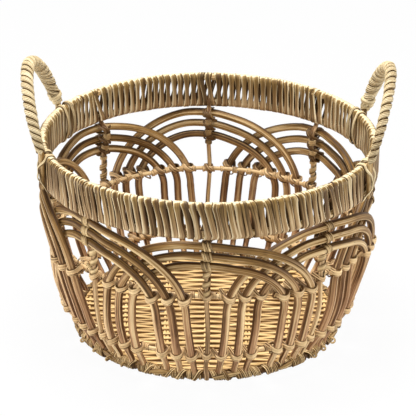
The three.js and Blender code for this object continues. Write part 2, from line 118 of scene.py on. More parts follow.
class RimSizes(PropertyGroup):
    radius: length("Radius", outer_radius("upper_hoop") - HOOP_DIAMETER / 2, "Both hoops' radius")
    upper: length("Upper hoop", middle_height("upper_hoop"), "Height of the upper hoop")
    lower: length("Lower hoop", middle_height("lower_hoop"), "Height of the lower hoop")
    hoop: length("Hoop", HOOP_DIAMETER, "Diameter of the hoops' rods")
    turns: IntProperty(name="Turns", default=150, description="Turns of cane round the rim")
    cane_width: length("Cane width", 0.0082, "Width of the rim's cane where it lies on a hoop")
    cane: length("Cane thickness", 0.0013, "Thickness of the rim's cane")
    slant: number("Slant", 0.74, "Share of a turn gained on the outer run")


class WallSizes(PropertyGroup):
    groups: IntProperty(name="Groups", default=8, min=8, max=8, description="Groups of arches")
    rings: IntProperty(name="Arches", default=3, description="Arches in a group")
    rod: length("Rod", 0.0088, "Diameter of the arches' rods")
    stake: length("Stake", 0.0054, "Diameter of the stakes")
    crown_radius: length("Crown radius", 0.182, "Radius of the wall at its crowns")
    crown_drop: length("Crown drop", 0.0022, "From the rim's underside to the outer crown")
    lifts: numbers(
        "Lifts", LIFTS, "How far each group's outer crown sits above its even height", "LENGTH"
    )
    spacings: numbers("Spacings", SPACINGS, "From one crown of a group to the next", "LENGTH")
    leans: numbers("Leans", LEANS, "Degrees that each group's tops lean to one side")
    powers: numbers("Squareness", POWERS, "Power of each group's arches")
    spring: length("Spring", 0.0925, "Height where legs turn into arches")
    first_leg: number("First leg", 6.8, "Degrees from a stake to the nearest leg")
    leg_step: number("Leg step", 5.4, "Degrees from leg to leg")
    drift: number("Drift", 1.2, "Degrees that an outer leg spreads on its way down")
    layer_turn: number("Layer turn", 10, "Degrees from the stake where a rod is in its layer")
    layer_top: length("Layer top", 0.118, "Height above which the layers lie apart")
    layer_end: length("Layer end", 0.060, "Height below which the layers are one")
    foot_radius: length("Foot radius", 0.151, "Radius of the wall at its foot")
    curve: number("Bowl curve", 3.2, "Power of the wall's curve")


class RingSizes(PropertyGroup):
    rod: length("Ring", 0.0046, "Diameter of the binding rings")
    middle: length("Mid ring", middle_height("mid_ring"), "Height of the mid ring")
    lower: length("Lower ring", middle_height("lower_ring"), "Height of the lower ring")
    tie: length("Tie", 0.0062, "Width of the ties' cane")


class HandleSizes(PropertyGroup):
    angles: numbers("Angles", (93.3, 89), "Degrees from the front to each handle's middle")
    half_spans: numbers("Half spans", (22.5, 23.5), "Degrees from a handle's middle to its feet")
    rises: numbers("Rises", (0.0795, 0.083), "From the upper hoop to each loop's top", "LENGTH")
    lean: length("Lean", 0.0225, "How far the loops lean out")
    squareness: number("Squareness", 1.85, "Power of the loops")
    core: length("Core", 0.0104, "Diameter of the loops' rods")
    neck: length("Neck", 0.0068, "Diameter of the rods at the rim's top")
    tip: length("Tip", 0.0044, "Diameter of the rods' pared ends")
    neck_length: length("Neck length", 0.045, "From the rim's top to the full rod")
    turns: IntVectorProperty(
        name="Turns", size=2, default=(-8, 12), description="Turns of each handle's strips"
    )
    strips: IntVectorProperty(
        name="Strips", size=2, default=(3, 2), description="Strips wound side by side"
    )
    fronts: numbers("Front legs", (0.88, 0.62), "Share of the core's thickness at the front")
    rears: numbers("Rear legs", (1.14, 1.18), "Share of the core's thickness at the rear")


class FootSizes(PropertyGroup):
    radius: length("Radius", 0.148, "Radius of the foot border's middle")
    width: length("Width", 0.011, "Width of the foot border")
    height: length("Height", 0.011, "Height of the foot border")
    bundles: IntProperty(name="Bundles", default=46, description="Bundles of strips in the border")
    knots: IntProperty(name="Knots", default=48, description="Strips that stand out of the border")
    floor_height: length("Floor height", middle_height("floor_weave"), "Middle of the weave")
    stick_gap: length("Stick gap", 0.046, "From one pair of the floor's sticks to the next")
    row: length("Row", 0.0059, "From one row of the weave to the next")


class Finishes(PropertyGroup):
    rod: colour("Rods", (0.285, 0.156, 0.044), "Upper parts of the wall's rods")
    rod_low: colour("Rods, low", (0.47, 0.257, 0.125), "Lower parts of the wall's rods")
    stake: colour("Stakes", (0.50, 0.31, 0.15), "Stakes")
    cane: colour("Rim cane", (0.285, 0.173, 0.052), "Cane at the rim's top")
    cane_low: colour("Rim cane, low", (0.43, 0.272, 0.128), "Cane at the rim's underside")
    handle: colour("Handle cane", (0.57, 0.44, 0.24), "Cane of the handles")
    lashing: colour("Lashings", (0.46, 0.305, 0.135), "Cane of the lashings")
    ring: colour("Rings", (0.63, 0.415, 0.205), "Rings and their ties")
    floor: colour("Floor", (0.77, 0.51, 0.21), "Weave of the floor")
    foot: colour("Foot", (0.345, 0.203, 0.066), "Cane of the foot border")
    # Where cane's ribs, fibres and painted highlights are pale, it turns to the first of these
    # colours, or to cream on the rim and the handles
    pale: colour("Highlights", (0.95, 0.72, 0.39), "What the ribs and fibres of cane pale to")
    cream: colour("Cream", (0.96, 0.82, 0.54), "What the cane of the rim and the handles pales to")


class StageSettings(PropertyGroup):
    elevation: number("Elevation", 25.76, "Degrees that the camera looks down")
    roll: number("Roll", 0.54, "Degrees that the picture is turned clockwise")
    tilt: number("Tilt", 0.933, "Degrees above its target that the camera aims")
    distance: length("Distance", 2.59, "From the camera to its target")
    target: length("Target", 0.0925, "Height of the camera's target on the basket's axis")
    lens: number("Lens", 196.5, "Focal length in millimetres")
    fill: number("Fill", 0.06, "Strength of the world's light")
    key: number("Key", 51, "Power of the lamp overhead")
    side: number("Side lamps", 46, "Power of each of the two lamps at the sides")
    front: number("Front lamp", 33, "Power of the lamp in front")


def random_for(name):
    """Random numbers that are the same in every run for one piece's name."""
    return np.random.default_rng(zlib.crc32(name.encode()))


def polar(angle, radius, height):
    """Points from angles in degrees, radii and heights."""
    turn, radius, height = np.broadcast_arrays(np.radians(angle), radius, height)
    return np.stack([radius * np.sin(turn), -radius * np.cos(turn), height], axis=-1)


def facing(angle, along, outward, upward):
    """Directions at an angle round the basket, by their tangential, outward and upward shares."""
    turn, along, outward, upward = np.broadcast_arrays(np.radians(angle), along, outward, upward)
    rows = np.stack(
        [
            along * np.cos(turn) + outward * np.sin(turn),
            along * np.sin(turn) - outward * np.cos(turn),
            upward,
        ],
        axis=-1,
    )
    return unit(rows)


# Directions as facing() takes them: along the rim, outward and upward
TANGENT = (1, 0, 0)
OUTWARD = (0, 1, 0)
UPWARD = (0, 0, 1)

# A place times this points away from the basket's axis
AWAY = (1, 1, 0)


def axes_at(angle, *ways):
    """Directions at an angle round the basket, one for each way."""
    return tuple(facing(angle, *way) for way in ways)


def rolled(angle, turn):
    """Directions at an angle round the basket, turned in radians from outward to upward."""
    return facing(angle, 0, np.cos(turn), np.sin(turn))


def unit(rows):
    """Directions made one long."""
    return rows / np.maximum(np.linalg.norm(rows, axis=-1, keepdims=True), 1e-12)


def smooth(share):
    """A share from 0 to 1 that starts and ends softly."""
    t = np.clip(share, 0, 1)
    return t * t * (3 - 2 * t)


def hump(gap, width):
    """1 where a gap is 0, and next to nothing from two widths away."""
    return np.exp(-((gap / width) ** 2))


def wander(rng, places, scale, size, closed=False):
    """A slow random wave over distances: about size high and scale long."""
    total = places[-1] + 1e-9
    value = np.zeros_like(places)
    for power in range(1, 4):
        count = max(total / scale * power * 0.6, 0.3)
        if closed:
            count = max(round(count), 1)
        value += np.sin(2 * np.pi * (places / total * count + rng.random())) / power
    return value * size * 0.6


def distances(places):
    """How far along a path each of its places is."""
    steps = np.linalg.norm(np.diff(places, axis=0), axis=1)
    return np.concatenate([[0], np.cumsum(steps)])


def through(stops, step, closed=False):
    """A smooth path through rows that start with a place, with a row about every step metres."""
    rows = np.asarray(stops, float)
    if closed:
        rows = np.vstack([rows, rows[:1]])
    knots = distances(rows[:, :3])
    gaps = np.diff(knots)
    slopes = np.gradient(rows, knots, axis=0)
    if closed:
        slopes[0] = (rows[1] - rows[-2]) / (gaps[0] + gaps[-1])
        slopes[-1] = slopes[0]
    count = max(int(round(knots[-1] / step)), 4)
    at = np.linspace(0, knots[-1], count, endpoint=not closed)
    i = np.clip(np.searchsorted(knots, at, side="right") - 1, 0, len(gaps) - 1)
    gap = gaps[i][:, None]
    t = ((at - knots[i]) / gaps[i])[:, None]
    start = (1 + 2 * t) * (1 - t) ** 2 * rows[i] + t * (1 - t) ** 2 * gap * slopes[i]
    end = t * t * (3 - 2 * t) * rows[i + 1] + t * t * (t - 1) * gap * slopes[i + 1]
    return start + end


def round_section(sides, edges=0.0):
    """A round rod's section: across, outward and how pale. Both edges may take painted shade, as
    between neighbouring strands.
    """
    turn = np.arange(sides) / sides * 2 * np.pi
    across = np.sin(turn)
    return np.stack([across, np.cos(turn), 0.85 - edges * np.abs(across) ** 3], axis=1)


def arch_section(sides):
    """An arch's section: painted shade along its outer side, and a fine painted highlight on its
    inner side.
    """
    rows = round_section(sides)
    across, outward, _ = rows.T
    # Painted light: a fine highlight along the inner side, painted shade along the outer side, and
    # a dark line at the inner edge as shade between rods
    line = 0.32 * hump(across - 0.68, 0.16) * (outward > 0)
    rows[:, 2] = 0.82 + line - 0.5 * np.clip(-across - 0.15, 0, 1) - 0.42 * (across > 0.9)
    return rows


def strip_section(*back):
    """Split cane's section: a rounded back, and a flat belly that is painted darker, as shade where
    it lies against what it binds.
    """
    return np.array([*back, (0.88, 0, 0.3), (-0.88, 0, 0.3)], float)


class Strands:
    """Rods and strips that are swept along paths and become one mesh."""

    def __init__(self, name):
        self.name = name
        self.rng = random_for(name)
        self.points = []
        self.faces = []
        self.caps = []
        self.straight = []
        self.rib_and_painted_light_rows = []
        self.tones = []
        self.ribbons = []
        self.count = 0

    def sweep(self, places, outs, section, half_width, height, closed=False, tone=None, shade=1.0):
        """Sweeps a section along places. outs, one for all or one a place, point away from what
        the strand lies on. shade is a share of the section's paleness, which is where painted
        light and painted shade go: one for all, one a place, or one a point."""
        total = len(places)
        outs = np.broadcast_to(outs, places.shape)
        if closed:
            ahead = unit(np.roll(places, -1, axis=0) - np.roll(places, 1, axis=0))
        else:
            ahead = unit(np.gradient(places, axis=0))
        up = unit(outs - np.sum(outs * ahead, axis=1, keepdims=True) * ahead)
        across = np.cross(ahead, up)
        wide = np.broadcast_to(half_width, total)[:, None] * section[None, :, 0]
        high = np.broadcast_to(height, total)[:, None] * section[None, :, 1]
        rings = places[:, None] + across[:, None] * wide[..., None] + up[:, None] * high[..., None]
        travelled = distances(places)
        along = np.broadcast_to(travelled[:, None] + self.rng.random() * 5, wide.shape)
        self.points.append(rings.reshape(-1, 3))
        self.straight.append(np.stack([wide, high, along], axis=-1).reshape(-1, 3))
        shade = np.asarray(shade, float)
        shade = shade if shade.ndim == 2 else shade.reshape(-1, 1)
        self.rib_and_painted_light_rows.append(np.broadcast_to(shade * section[None, :, 2], wide.shape).ravel())
        tone = np.reshape(self.rng.random() if tone is None else tone, (-1, 1))
        self.tones.append(np.broadcast_to(tone, wide.shape).ravel())
        size = len(section)
        spans = total if closed else total - 1
        i, j = np.meshgrid(np.arange(spans), np.arange(size), indexing="ij")
        here = self.count + i * size
        there = self.count + ((i + 1) % total) * size
        beside = (j + 1) % size
        quads = np.stack([here + j, here + beside, there + beside, there + j], axis=-1)
        self.faces.append(quads.reshape(-1, 4))
        self.ribbons.append((travelled, closed, size, 2 * np.max(half_width) + 2 * np.max(height)))
        if not closed:
            self.caps.append(np.arange(size)[::-1] + self.count)
            self.caps.append(np.arange(size) + self.count + (total - 1) * size)
        self.count += total * size

    def bake_map(self, mesh):
        """Lays the strands out in rows on the map that a bake of this piece would use."""
        area = 0
        for travelled, closed, _, girth in self.ribbons:
            area += travelled[-1] * (1 + 1 / len(travelled) if closed else 1) * girth
        row = math.sqrt(area) * 1.06
        row_gap = 1.05
        spots = []
        base = 0
        for travelled, closed, size, girth in self.ribbons:
            starts = travelled[:-1]
            ends = travelled[1:]
            if closed:
                starts = travelled
                ends = np.append(ends, travelled[-1] + travelled[1])
            line = np.floor(starts / row)
            i, j = np.meshgrid(np.arange(len(starts)), np.arange(size), indexing="ij")
            left = (starts - line * row)[i]
            right = (ends - line * row)[i]
            low = base + line[i] * girth * row_gap + j / size * girth
            high = low + girth / size
            corners = [(left, low), (left, high), (right, high), (right, low)]
            spots.append(np.stack([np.stack(c, axis=-1) for c in corners], axis=2).reshape(-1, 2))
            base += (line[-1] + 1) * girth * row_gap
        spots.append(np.zeros((sum(len(cap) for cap in self.caps), 2)))
        spots = np.vstack(spots) / max(base, row * 1.03)
        layer = mesh.uv_layers.new(name="OFBake")
        layer.uv.foreach_set("vector", spots.astype(np.float32).ravel())

    def make(self, finish, slot, *nodes):
        """The finished object, which stands for the CAD nodes that are named."""
        mesh = bpy.data.meshes.new(self.name)
        faces = np.vstack(self.faces).tolist() + [cap.tolist() for cap in self.caps]
        mesh.from_pydata(np.vstack(self.points), [], faces)
        self.bake_map(mesh)
        straight = mesh.attributes.new("straight", "FLOAT_VECTOR", "POINT")
        straight.data.foreach_set("vector", np.vstack(self.straight).astype(np.float32).ravel())
        # The section's paleness, with the painted light and shade swept in, goes out as an
        # attribute
        for name, values in (("rib_and_painted_light", self.rib_and_painted_light_rows), ("tone", self.tones)):
            attribute = mesh.attributes.new(name, "FLOAT", "POINT")
            attribute.data.foreach_set("value", np.concatenate(values).astype(np.float32))
        mesh.shade_smooth()
        mesh.materials.append(finish)
        piece = bpy.data.objects.new(self.name, mesh)
        bpy.context.scene.collection.objects.link(piece)
        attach(piece, "root")
        if nodes:
            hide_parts(*nodes)
        return piece


ROUND = round_section(14)
ARCH = arch_section(16)
FINE = round_section(10)
# The weave's rows are painted darker at both edges, as shade between the rows
WEAVER = round_section(12, edges=0.75)
FILLER = round_section(6)

# One half of the back of the rim's strip: across and how far out. The other half mirrors it.
RIM_BACK = ((-1, 0.2), (-0.9, 0.55), (-0.7, 0.85), (-0.4, 0.98), (-0.12, 0.9))
RIM_CANE = strip_section(
    *((across, out, 1) for across, out in RIM_BACK),
    *((-across, out, 1) for across, out in reversed(RIM_BACK)),
)
# How pale that strip is at its points, the belly's two last, where its last edge is the pale one:
# a painted highlight on that edge, and painted shade on the first edge and on the belly
RIM_PAINTED_LIGHT = np.array((-0.4, -0.2, 0.5, 0.7, 0.5, 0.6, 0.7, 0.95, 1.8, 1.4, 0, 0))

# Points of other strips' backs: across, how far out, and how pale. Their darkest points, at the
# edges and in the grooves, are painted shade between and along the strips
COLLAR = strip_section(
    (-1, 0, 0), (-0.8, 0.35, 0), (-0.7, 0.9, 1.2), (-0.35, 1, 0.95), (0.05, 0.94, 0.78),
    (0.4, 1, 0.95), (0.72, 0.88, 1.15), (0.92, 0.5, 0.6), (1, 0.15, 0.2),
)
GROOVED = strip_section(
    (-1, 0, -0.4), (-0.84, 0.5, 0.1), (-0.62, 0.95, 0.9), (-0.38, 1, 1), (-0.08, 0.5, -0.3),
    (0.12, 0.55, -0.1), (0.42, 1, 1.05), (0.68, 0.9, 0.9), (0.86, 0.5, 0.3), (1, 0, -0.4),
)
TURN = strip_section(
    (-1, 0, -0.2), (-0.9, 0.35, -0.2), (-0.74, 0.76, 0.85), (-0.52, 0.85, 0.9),
    (-0.39, 0.66, -0.1), (-0.25, 0.92, 0.9), (0, 1, 1), (0.13, 0.78, -0.1),
    (0.27, 0.96, 0.95), (0.5, 0.9, 1), (0.61, 0.64, 0), (0.74, 0.72, 0.9),
    (0.9, 0.4, 0.5), (1, 0, -0.1),
)
BAND = strip_section(
    (-1, 0.2, 0.05), (-0.84, 0.62, 0.5), (-0.45, 0.94, 0.82), (0, 1, 0.78),
    (0.45, 0.94, 0.95), (0.84, 0.62, 0.85), (1, 0.2, 0.2),
)

# Width and thickness of the split cane in each place
CROWN_CANE = (0.0025, 0.0012)
CROWN_COIL = (0.0032, 0.0012)
CUT_END = (0.0042, 0.0012)
STAKE_CANE = (0.0068, 0.0011)
TIE_CANE = (0.0018, 0.0012)
LINK_CANE = (0.0046, 0.0011)
RING_COIL = (0.0023, 0.0011)
HANDLE_LASHING = (0.0024, 0.0012)

# Thickness of the collars over the legs, of the handles' strips and of the foot border's cane
COLLAR_CANE = 0.0021
HANDLE_CANE = 0.0019
FOOT_CANE = 0.0014

# Points along one leg and along half of an arch
LEG_STEPS = 30
ARCH_STEPS = 34


def between(path, low, high):
    """The part of a path between two heights."""
    return path[(path[:, 2] > low) & (path[:, 2] < high)]


class Wall:
    """Where the rods, the stakes and the rings of the wall lie."""

    def __init__(self, scene):
        self.rim = scene.basket_rim
        self.sizes = scene.basket_wall
        self.rings = scene.basket_rings
        self.foot = scene.basket_foot
        self.rod = self.sizes.rod / 2
        self.stake = self.sizes.stake / 2
        self.pitch = 360 / self.sizes.groups
        underside = self.rim.lower - self.rim.hoop / 2 - self.rim.cane
        self.top = underside - self.sizes.crown_drop - self.rod
        self.bottom = self.foot.height + self.rod / 2
        self.layer = self.rod + CLEARANCE / 2
        self.last = self.sizes.rings - 1

    def crown(self, group, ring):
        """How high an arch is. Ring 0 is a group's outermost arch."""
        return self.top + self.sizes.lifts[group] - ring * self.sizes.spacings[group]

    def half_angle(self, ring):
        """Degrees from a stake to an arch's legs."""
        return self.pitch - self.sizes.first_leg - ring * self.sizes.leg_step

    def radius(self, height):
        """How far the wall is from the axis."""
        share = (height - self.bottom) / (self.top - self.bottom)
        left = 1 - np.clip(share, 0, 1)
        drawn = self.sizes.crown_radius - self.sizes.foot_radius
        return self.sizes.crown_radius - drawn * left**self.sizes.curve

    def layer_at(self, away, height):
        """How far out a rod lies: the right half of an arch outside, the left half inside."""
        sizes = self.sizes
        share = smooth((height - sizes.layer_end) / (sizes.layer_top - sizes.layer_end))
        turn = smooth(np.abs(away) / sizes.layer_turn)
        return np.sign(away) * self.layer * turn * share

    def leg_angle(self, group, ring, side, height):
        """A leg's angle from its own stake."""
        sizes = self.sizes
        power = sizes.powers[group]
        lean = sizes.leans[group]
        rise = np.clip((height - sizes.spring) / (self.crown(group, ring) - sizes.spring), 0, 1)
        half = self.half_angle(ring) - side * lean
        above = lean + side * half * (1 - rise**power) ** (1 / power)
        drop = np.maximum(sizes.spring - height, 0) / (sizes.spring - self.rings.lower)
        return above + side * sizes.drift * drop / (ring + 1)

    def half_arch(self, group, ring, side):
        """Heights, and angles from the stake, of half of an arch, from its foot to its crown."""
        sizes = self.sizes
        legs = np.linspace(self.foot.height * 0.55, sizes.spring, LEG_STEPS)[:-1]
        turns = np.linspace(0, math.pi / 2, ARCH_STEPS)
        power = 2 / sizes.powers[group]
        lean = sizes.leans[group]
        half = self.half_angle(ring) - side * lean
        rise = self.crown(group, ring) - sizes.spring
        heights = np.concatenate([legs, sizes.spring + rise * np.sin(turns) ** power])
        bent = lean + side * half * np.maximum(np.cos(turns), 0) ** power
        return heights, np.concatenate([self.leg_angle(group, ring, side, legs), bent])

    def crossing(self, group, ring):
        """How high an arch crosses its stake, just below the crown where the top leans."""
        lean = abs(self.sizes.leans[group])
        power = self.sizes.powers[group]
        away = lean / (self.half_angle(ring) + lean)
        rise = self.crown(group, ring) - self.sizes.spring
        return self.sizes.spring + rise * (1 - away**power) ** (1 / power)

    def ring_radius(self, height):
        """The ring's middle line, inside the innermost legs."""
        innermost = self.radius(height) - abs(self.layer_at(self.pitch, height)) - self.rod
        return innermost - self.rings.rod / 2

    def uprights(self, height):
        """Angle, radius and half thickness of every leg and stake at a height, in order."""
        found = []
        ring_side = self.ring_radius(height) + self.rings.rod / 2 + self.stake
        for group in range(self.sizes.groups):
            crown = group * self.pitch
            found.append((crown, ring_side, self.stake))
            for ring in range(self.sizes.rings):
                for side in (-1, 1):
                    away = float(self.leg_angle(group, ring, side, height))
                    radius = float(self.radius(height) + self.layer_at(away, height))
                    found.append(((crown + away) % 360, radius, self.rod))
        return sorted(found)


# How far rods and stakes sway along the rim
SWAY = 0.0009


def rod_swelling(rng, travelled, first):
    """A rod's thickness as a share: slow changes, and a small ring at each of its nodes."""
    share = 1 + wander(rng, travelled, 0.09, 0.035)
    node = first
    while node < travelled[-1]:
        share += 0.07 * hump(travelled - node, 0.0022)
        share -= 0.03 * hump(travelled - node - 0.004, 0.003)
        node += 0.17 + 0.08 * rng.random()
    return share


def make_rods(scene, finish):
    """The wall's rods, each bent into one arch with its two legs."""
    wall = Wall(scene)
    names = ("outer", "middle", "inner")
    for group in range(wall.sizes.groups):
        for ring in range(wall.sizes.rings):
            strands = Strands(f"rod_{names[ring]}_{group + 1}")
            rng = strands.rng
            left, right = (wall.half_arch(group, ring, side) for side in (-1, 1))
            heights = np.concatenate([left[0], right[0][-2::-1]])
            away = np.concatenate([left[1], right[1][-2::-1]])
            layers = wall.layer_at(away, heights)
            travelled = distances(polar(away, wall.radius(heights), heights))
            low = smooth((wall.rings.lower - 0.002 - heights) / 0.02)
            away = away + np.degrees(wander(rng, travelled, 0.16, SWAY) / 0.17)
            heights = heights + wander(rng, travelled, 0.2, 0.0006) * smooth(heights / 0.15)
            radii = wall.radius(heights) + layers - 0.0015 * low
            angles = group * wall.pitch + away
            path = through(polar(angles, radii, heights), 0.0035)
            travelled = distances(path)
            thick = wall.rod * rod_swelling(rng, travelled, 0.03 + 0.15 * rng.random())
            below = smooth((wall.rings.lower - path[:, 2]) / 0.012)
            thick = thick * (1 - 0.22 * below)
            # The legs below the lower ring are painted a little paler, as a painted highlight where
            # they catch the light
            strands.sweep(path, path * AWAY, ARCH, thick, thick, shade=1 + 0.08 * below)
            strands.make(finish, "rod", f"arch_{names[ring]}_{group + 1}")


def stake_path(wall, group):
    """A stake's middle line, from the foot up into the rim."""
    rng = random_for(f"upright_{group + 1}")
    rim = wall.rim
    inner = wall.crossing(group, wall.last)
    behind = wall.rod + wall.stake + CLEARANCE
    beside = wall.rings.rod / 2 + wall.stake
    halfway = (wall.rings.lower + wall.rings.middle) / 2
    in_rim = rim.radius - rim.hoop / 2 - wall.stake
    stops = [
        (wall.foot.height * 0.6, wall.radius(wall.bottom) - wall.rod),
        (wall.rings.lower, wall.ring_radius(wall.rings.lower) + beside),
        (halfway, wall.ring_radius(halfway) + beside),
        (wall.rings.middle, wall.ring_radius(wall.rings.middle) + beside),
        (inner - wall.rod, wall.radius(inner) - behind),
        (wall.top + wall.rod, wall.sizes.crown_radius - behind),
        (rim.lower - rim.hoop / 2, in_rim),
        (rim.lower + rim.hoop / 2, in_rim),
        (rim.lower + 0.018, rim.radius),
    ]
    if group == 0:
        # The front stake ends over the foot border
        outside = wall.foot.radius + wall.foot.width / 2 + wall.stake
        stops[0] = (wall.foot.height + wall.stake, outside - 0.004)
        stops.insert(0, (wall.foot.height * 0.75, outside))
        stops.insert(0, (0.0045, outside + 0.0005))
    heights, radii = np.array(stops, float).T
    sway = np.degrees(rng.normal(0, SWAY, len(stops)) / 0.18)
    sway[-3:] = 0
    return through(polar(group * wall.pitch + sway, radii, heights), 0.003)


def make_stakes(scene, finish):
    """The stakes, with painted shade behind the crowns, and thinner in the rim."""
    wall = Wall(scene)
    for group in range(wall.sizes.groups):
        strands = Strands(f"upright_{group + 1}")
        path = stake_path(wall, group)
        thick = wall.stake * rod_swelling(strands.rng, distances(path), 0.06)
        thick = thick * (1 - 0.45 * smooth((path[:, 2] - wall.rim.lower) / 0.01))
        # Painted shade on the stake above the inner crown, where it lies in the dark behind the
        # crowns and under the rim
        painted_crown_shade = 1 - 0.75 * smooth((path[:, 2] - wall.crossing(group, wall.last)) / 0.008)
        strands.sweep(path, path * AWAY, FINE, thick, thick, shade=painted_crown_shade)
        strands.make(finish, "stake", f"stake_{group + 1}")


def hoop_path(radius, height, step):
    """Places on a level circle every few degrees, and the ways out of it."""
    angles = np.arange(0, 360, step)
    return polar(angles, radius, height), facing(angles, *OUTWARD)


def make_hoops(scene, finish):
    """The two hoops inside the rim."""
    rim = scene.basket_rim
    for name, height in (("upper", rim.upper), ("lower", rim.lower)):
        strands = Strands(f"rim_rod_{name}")
        places, outs = hoop_path(rim.radius, height, 2)
        strands.sweep(places, outs, ROUND, rim.hoop / 2, rim.hoop / 2, closed=True)
        strands.make(finish, "rod", f"{name}_hoop")


def near(angles, middle, radius):
    """Signed distances along the rim from an angle."""
    return np.radians((angles - middle + 180) % 360 - 180) * radius


def handle_feet(scene):
    """Side, end and angle of the handles' four feet."""
    handles = scene.basket_handles
    feet = []
    for index, side in enumerate((-1, 1)):
        for end in (-1, 1):
            angle = side * (handles.angles[index] + end * handles.half_spans[index])
            feet.append((side, end, angle))
    return feet


# At angles round the rim: how far the inner run lies after the outer run's top, in turns, and
# how much of its width a strip keeps halfway between the hoops
RUN_ANGLES = (0, 60, 85, 110, 145, 180, 205, 235, 262, 300, 335, 360)
INNER_RUN = (0.4, 0.6, 0.85, 0.7, 0.3, 0.4, 0.5, 0.55, 0.85, 0.7, 0.45, 0.4)
WAISTS = (0.8, 0.82, 0.86, 0.76, 0.68, 0.62, 0.62, 0.72, 0.86, 0.82, 0.82, 0.8)

# Angles at which the runs part, so that light shows through the band, and how far they part
SLITS = (-24, -20.5, -16.8, -11.8, -6.6, 13.2, 18.2, 31, 44, -38, -52, -66)
OUTER_SLIT = 0.003
INNER_SLIT = 0.0044
SLIT_REACH = 0.02

# A handle's foot pushes strips aside, at most by FOOT_PUSH and over FOOT_REACH. At FOOT_SIDE
# beside it they lose the share FOOT_PINCH of their width.
FOOT_PUSH = 0.0062
FOOT_REACH = 0.011
FOOT_SIDE = 0.008
FOOT_PINCH = 0.35

# Most that the inner run stands off a stake, and over what distance
STAKE_LIFT = 0.0052
STAKE_REACH = 0.006


def parted(angles, middle, opening, radius):
    """How many degrees each angle moves away from a slit, most for the nearest ones."""
    gap = near(angles, middle, radius)
    moved = np.sign(gap) * (np.abs(gap) ** 3 + opening**3) ** (1 / 3) - gap
    return np.degrees(moved * (np.abs(gap) < SLIT_REACH) / radius)


def rim_corners(scene, rng):
    """Each turn's angles at its four corners (outer top, outer bottom, inner bottom, inner
    top), the shares of its width there, and how far its inner run stands off a stake."""
    rim = scene.basket_rim
    pitch = 360 / rim.turns
    start = np.arange(rim.turns) * pitch
    inner = np.interp(start, RUN_ANGLES, INNER_RUN)
    shares = np.stack([0 * inner, 0 * inner + rim.slant, inner, inner + 0.1], axis=1)
    corners = start[:, None] + (shares + rng.normal(0, 0.04, (rim.turns, 4))) * pitch
    widths = np.ones((rim.turns, 4))
    # The outer run makes room for the handles' feet
    for _, _, foot in handle_feet(scene):
        for corner in (0, 1):
            gap = near(corners[:, corner], foot, rim.radius)
            pushed = FOOT_PUSH * hump(gap, FOOT_REACH)
            corners[:, corner] += np.degrees(np.sign(gap) * pushed / rim.radius)
            widths[:, corner] *= 1 - FOOT_PINCH * hump(np.abs(gap) - FOOT_SIDE, FOOT_SIDE)
    for slit in SLITS:
        middles = corners[:, :2].mean(axis=1)
        edges = (middles[1:] + middles[:-1]) / 2
        slit = edges[np.argmin(np.abs(near(edges, slit, rim.radius)))]
        for run, opening in ((slice(0, 2), OUTER_SLIT), (slice(2, 4), INNER_SLIT)):
            moved = parted(corners[:, run].mean(axis=1), slit, opening, rim.radius)
            corners[:, run] += moved[:, None]
    # The inner run goes over the stakes' ends, and the outer run slants more beside them
    over_stake = np.zeros(rim.turns)
    groups = scene.basket_wall.groups
    for group in range(groups):
        stake = group * 360 / groups
        gap = near(corners[:, 2], stake, rim.radius)
        over_stake += STAKE_LIFT * hump(gap, STAKE_REACH)
        corners[:, 3] += 1.1 * pitch * hump(gap, 0.007)
        gap = near(corners[:, 0], stake, rim.radius)
        corners[:, 1] += 0.5 * pitch * hump(gap + 0.004, 0.008)
    return corners, widths, over_stake


def rim_stations(scene, rng):
    """The winding's stations, as rows of angle, distance from a hoop's middle, height, tilt in
    degrees, share of the width, paleness with its painted highlight and shade, and tone."""
    rim = scene.basket_rim
    turns = rim.turns
    pitch = 360 / turns
    corners, widths, over_stake = rim_corners(scene, rng)
    seat = rim.hoop / 2
    drop = rim.lower - rim.upper
    run = np.linspace(0, 1, 8)
    arc = run[1:-1]
    upcoming = np.vstack([corners[1:], corners[:1] + 360])
    waists = np.interp(np.arange(turns) * pitch, RUN_ANGLES, WAISTS) + rng.normal(0, 0.035, turns)
    rows = []
    for now, after, wide, waist, over in zip(corners, upcoming, widths, waists, over_stake):
        bow = rng.normal(0, 0.06) * pitch
        lifts = rng.normal(0.0001, 0.0002, 4).clip(-0.0001, 0.0006)
        tone = rng.random()
        spans = [1 - (1 - waist) * math.sin(math.pi * t) ** 0.8 for t in run]
        # The cane is a little darker towards the rim's top on both runs. It is painted darker round
        # under the lower hoop as shade, and painted pale along the upper hoop's top as a highlight
        for t, kept in zip(run, spans):
            angle = now[0] + (now[1] - now[0]) * t + bow * math.sin(math.pi * t)
            height = rim.upper + drop * t
            stand = seat + lifts[0]
            rows.append((angle, stand, height, 0, kept * wide[0], 0.84 + 0.24 * t, tone))
        for t in arc:
            angle = now[1] + (now[2] - now[1]) * t
            stand = seat + lifts[1]
            # Painted shade: darker as the cane goes round under the lower hoop
            rows.append((angle, stand, rim.lower, -180 * t, wide[1], 1.1 - 0.2 * t, tone))
        for t, kept in zip(run, spans):
            angle = now[2] + (now[3] - now[2]) * t
            stand = seat + (lifts[2] + over * (1 - t))
            rows.append((angle, stand, rim.lower - drop * t, -180, kept, 1.08 - 0.24 * t, tone))
        for t in arc:
            angle = now[3] + (after[0] - now[3]) * t
            # Painted highlight along the upper hoop's top, where the lamp overhead lights it
            painted_top_highlight = 0.84 + 1.3 * float(smooth((math.sin(math.pi * t) - 0.75) / 0.2))
            rows.append((angle, seat + lifts[3], rim.upper, -180 - 180 * t, 1, painted_top_highlight, tone))
    return np.array(rows).T


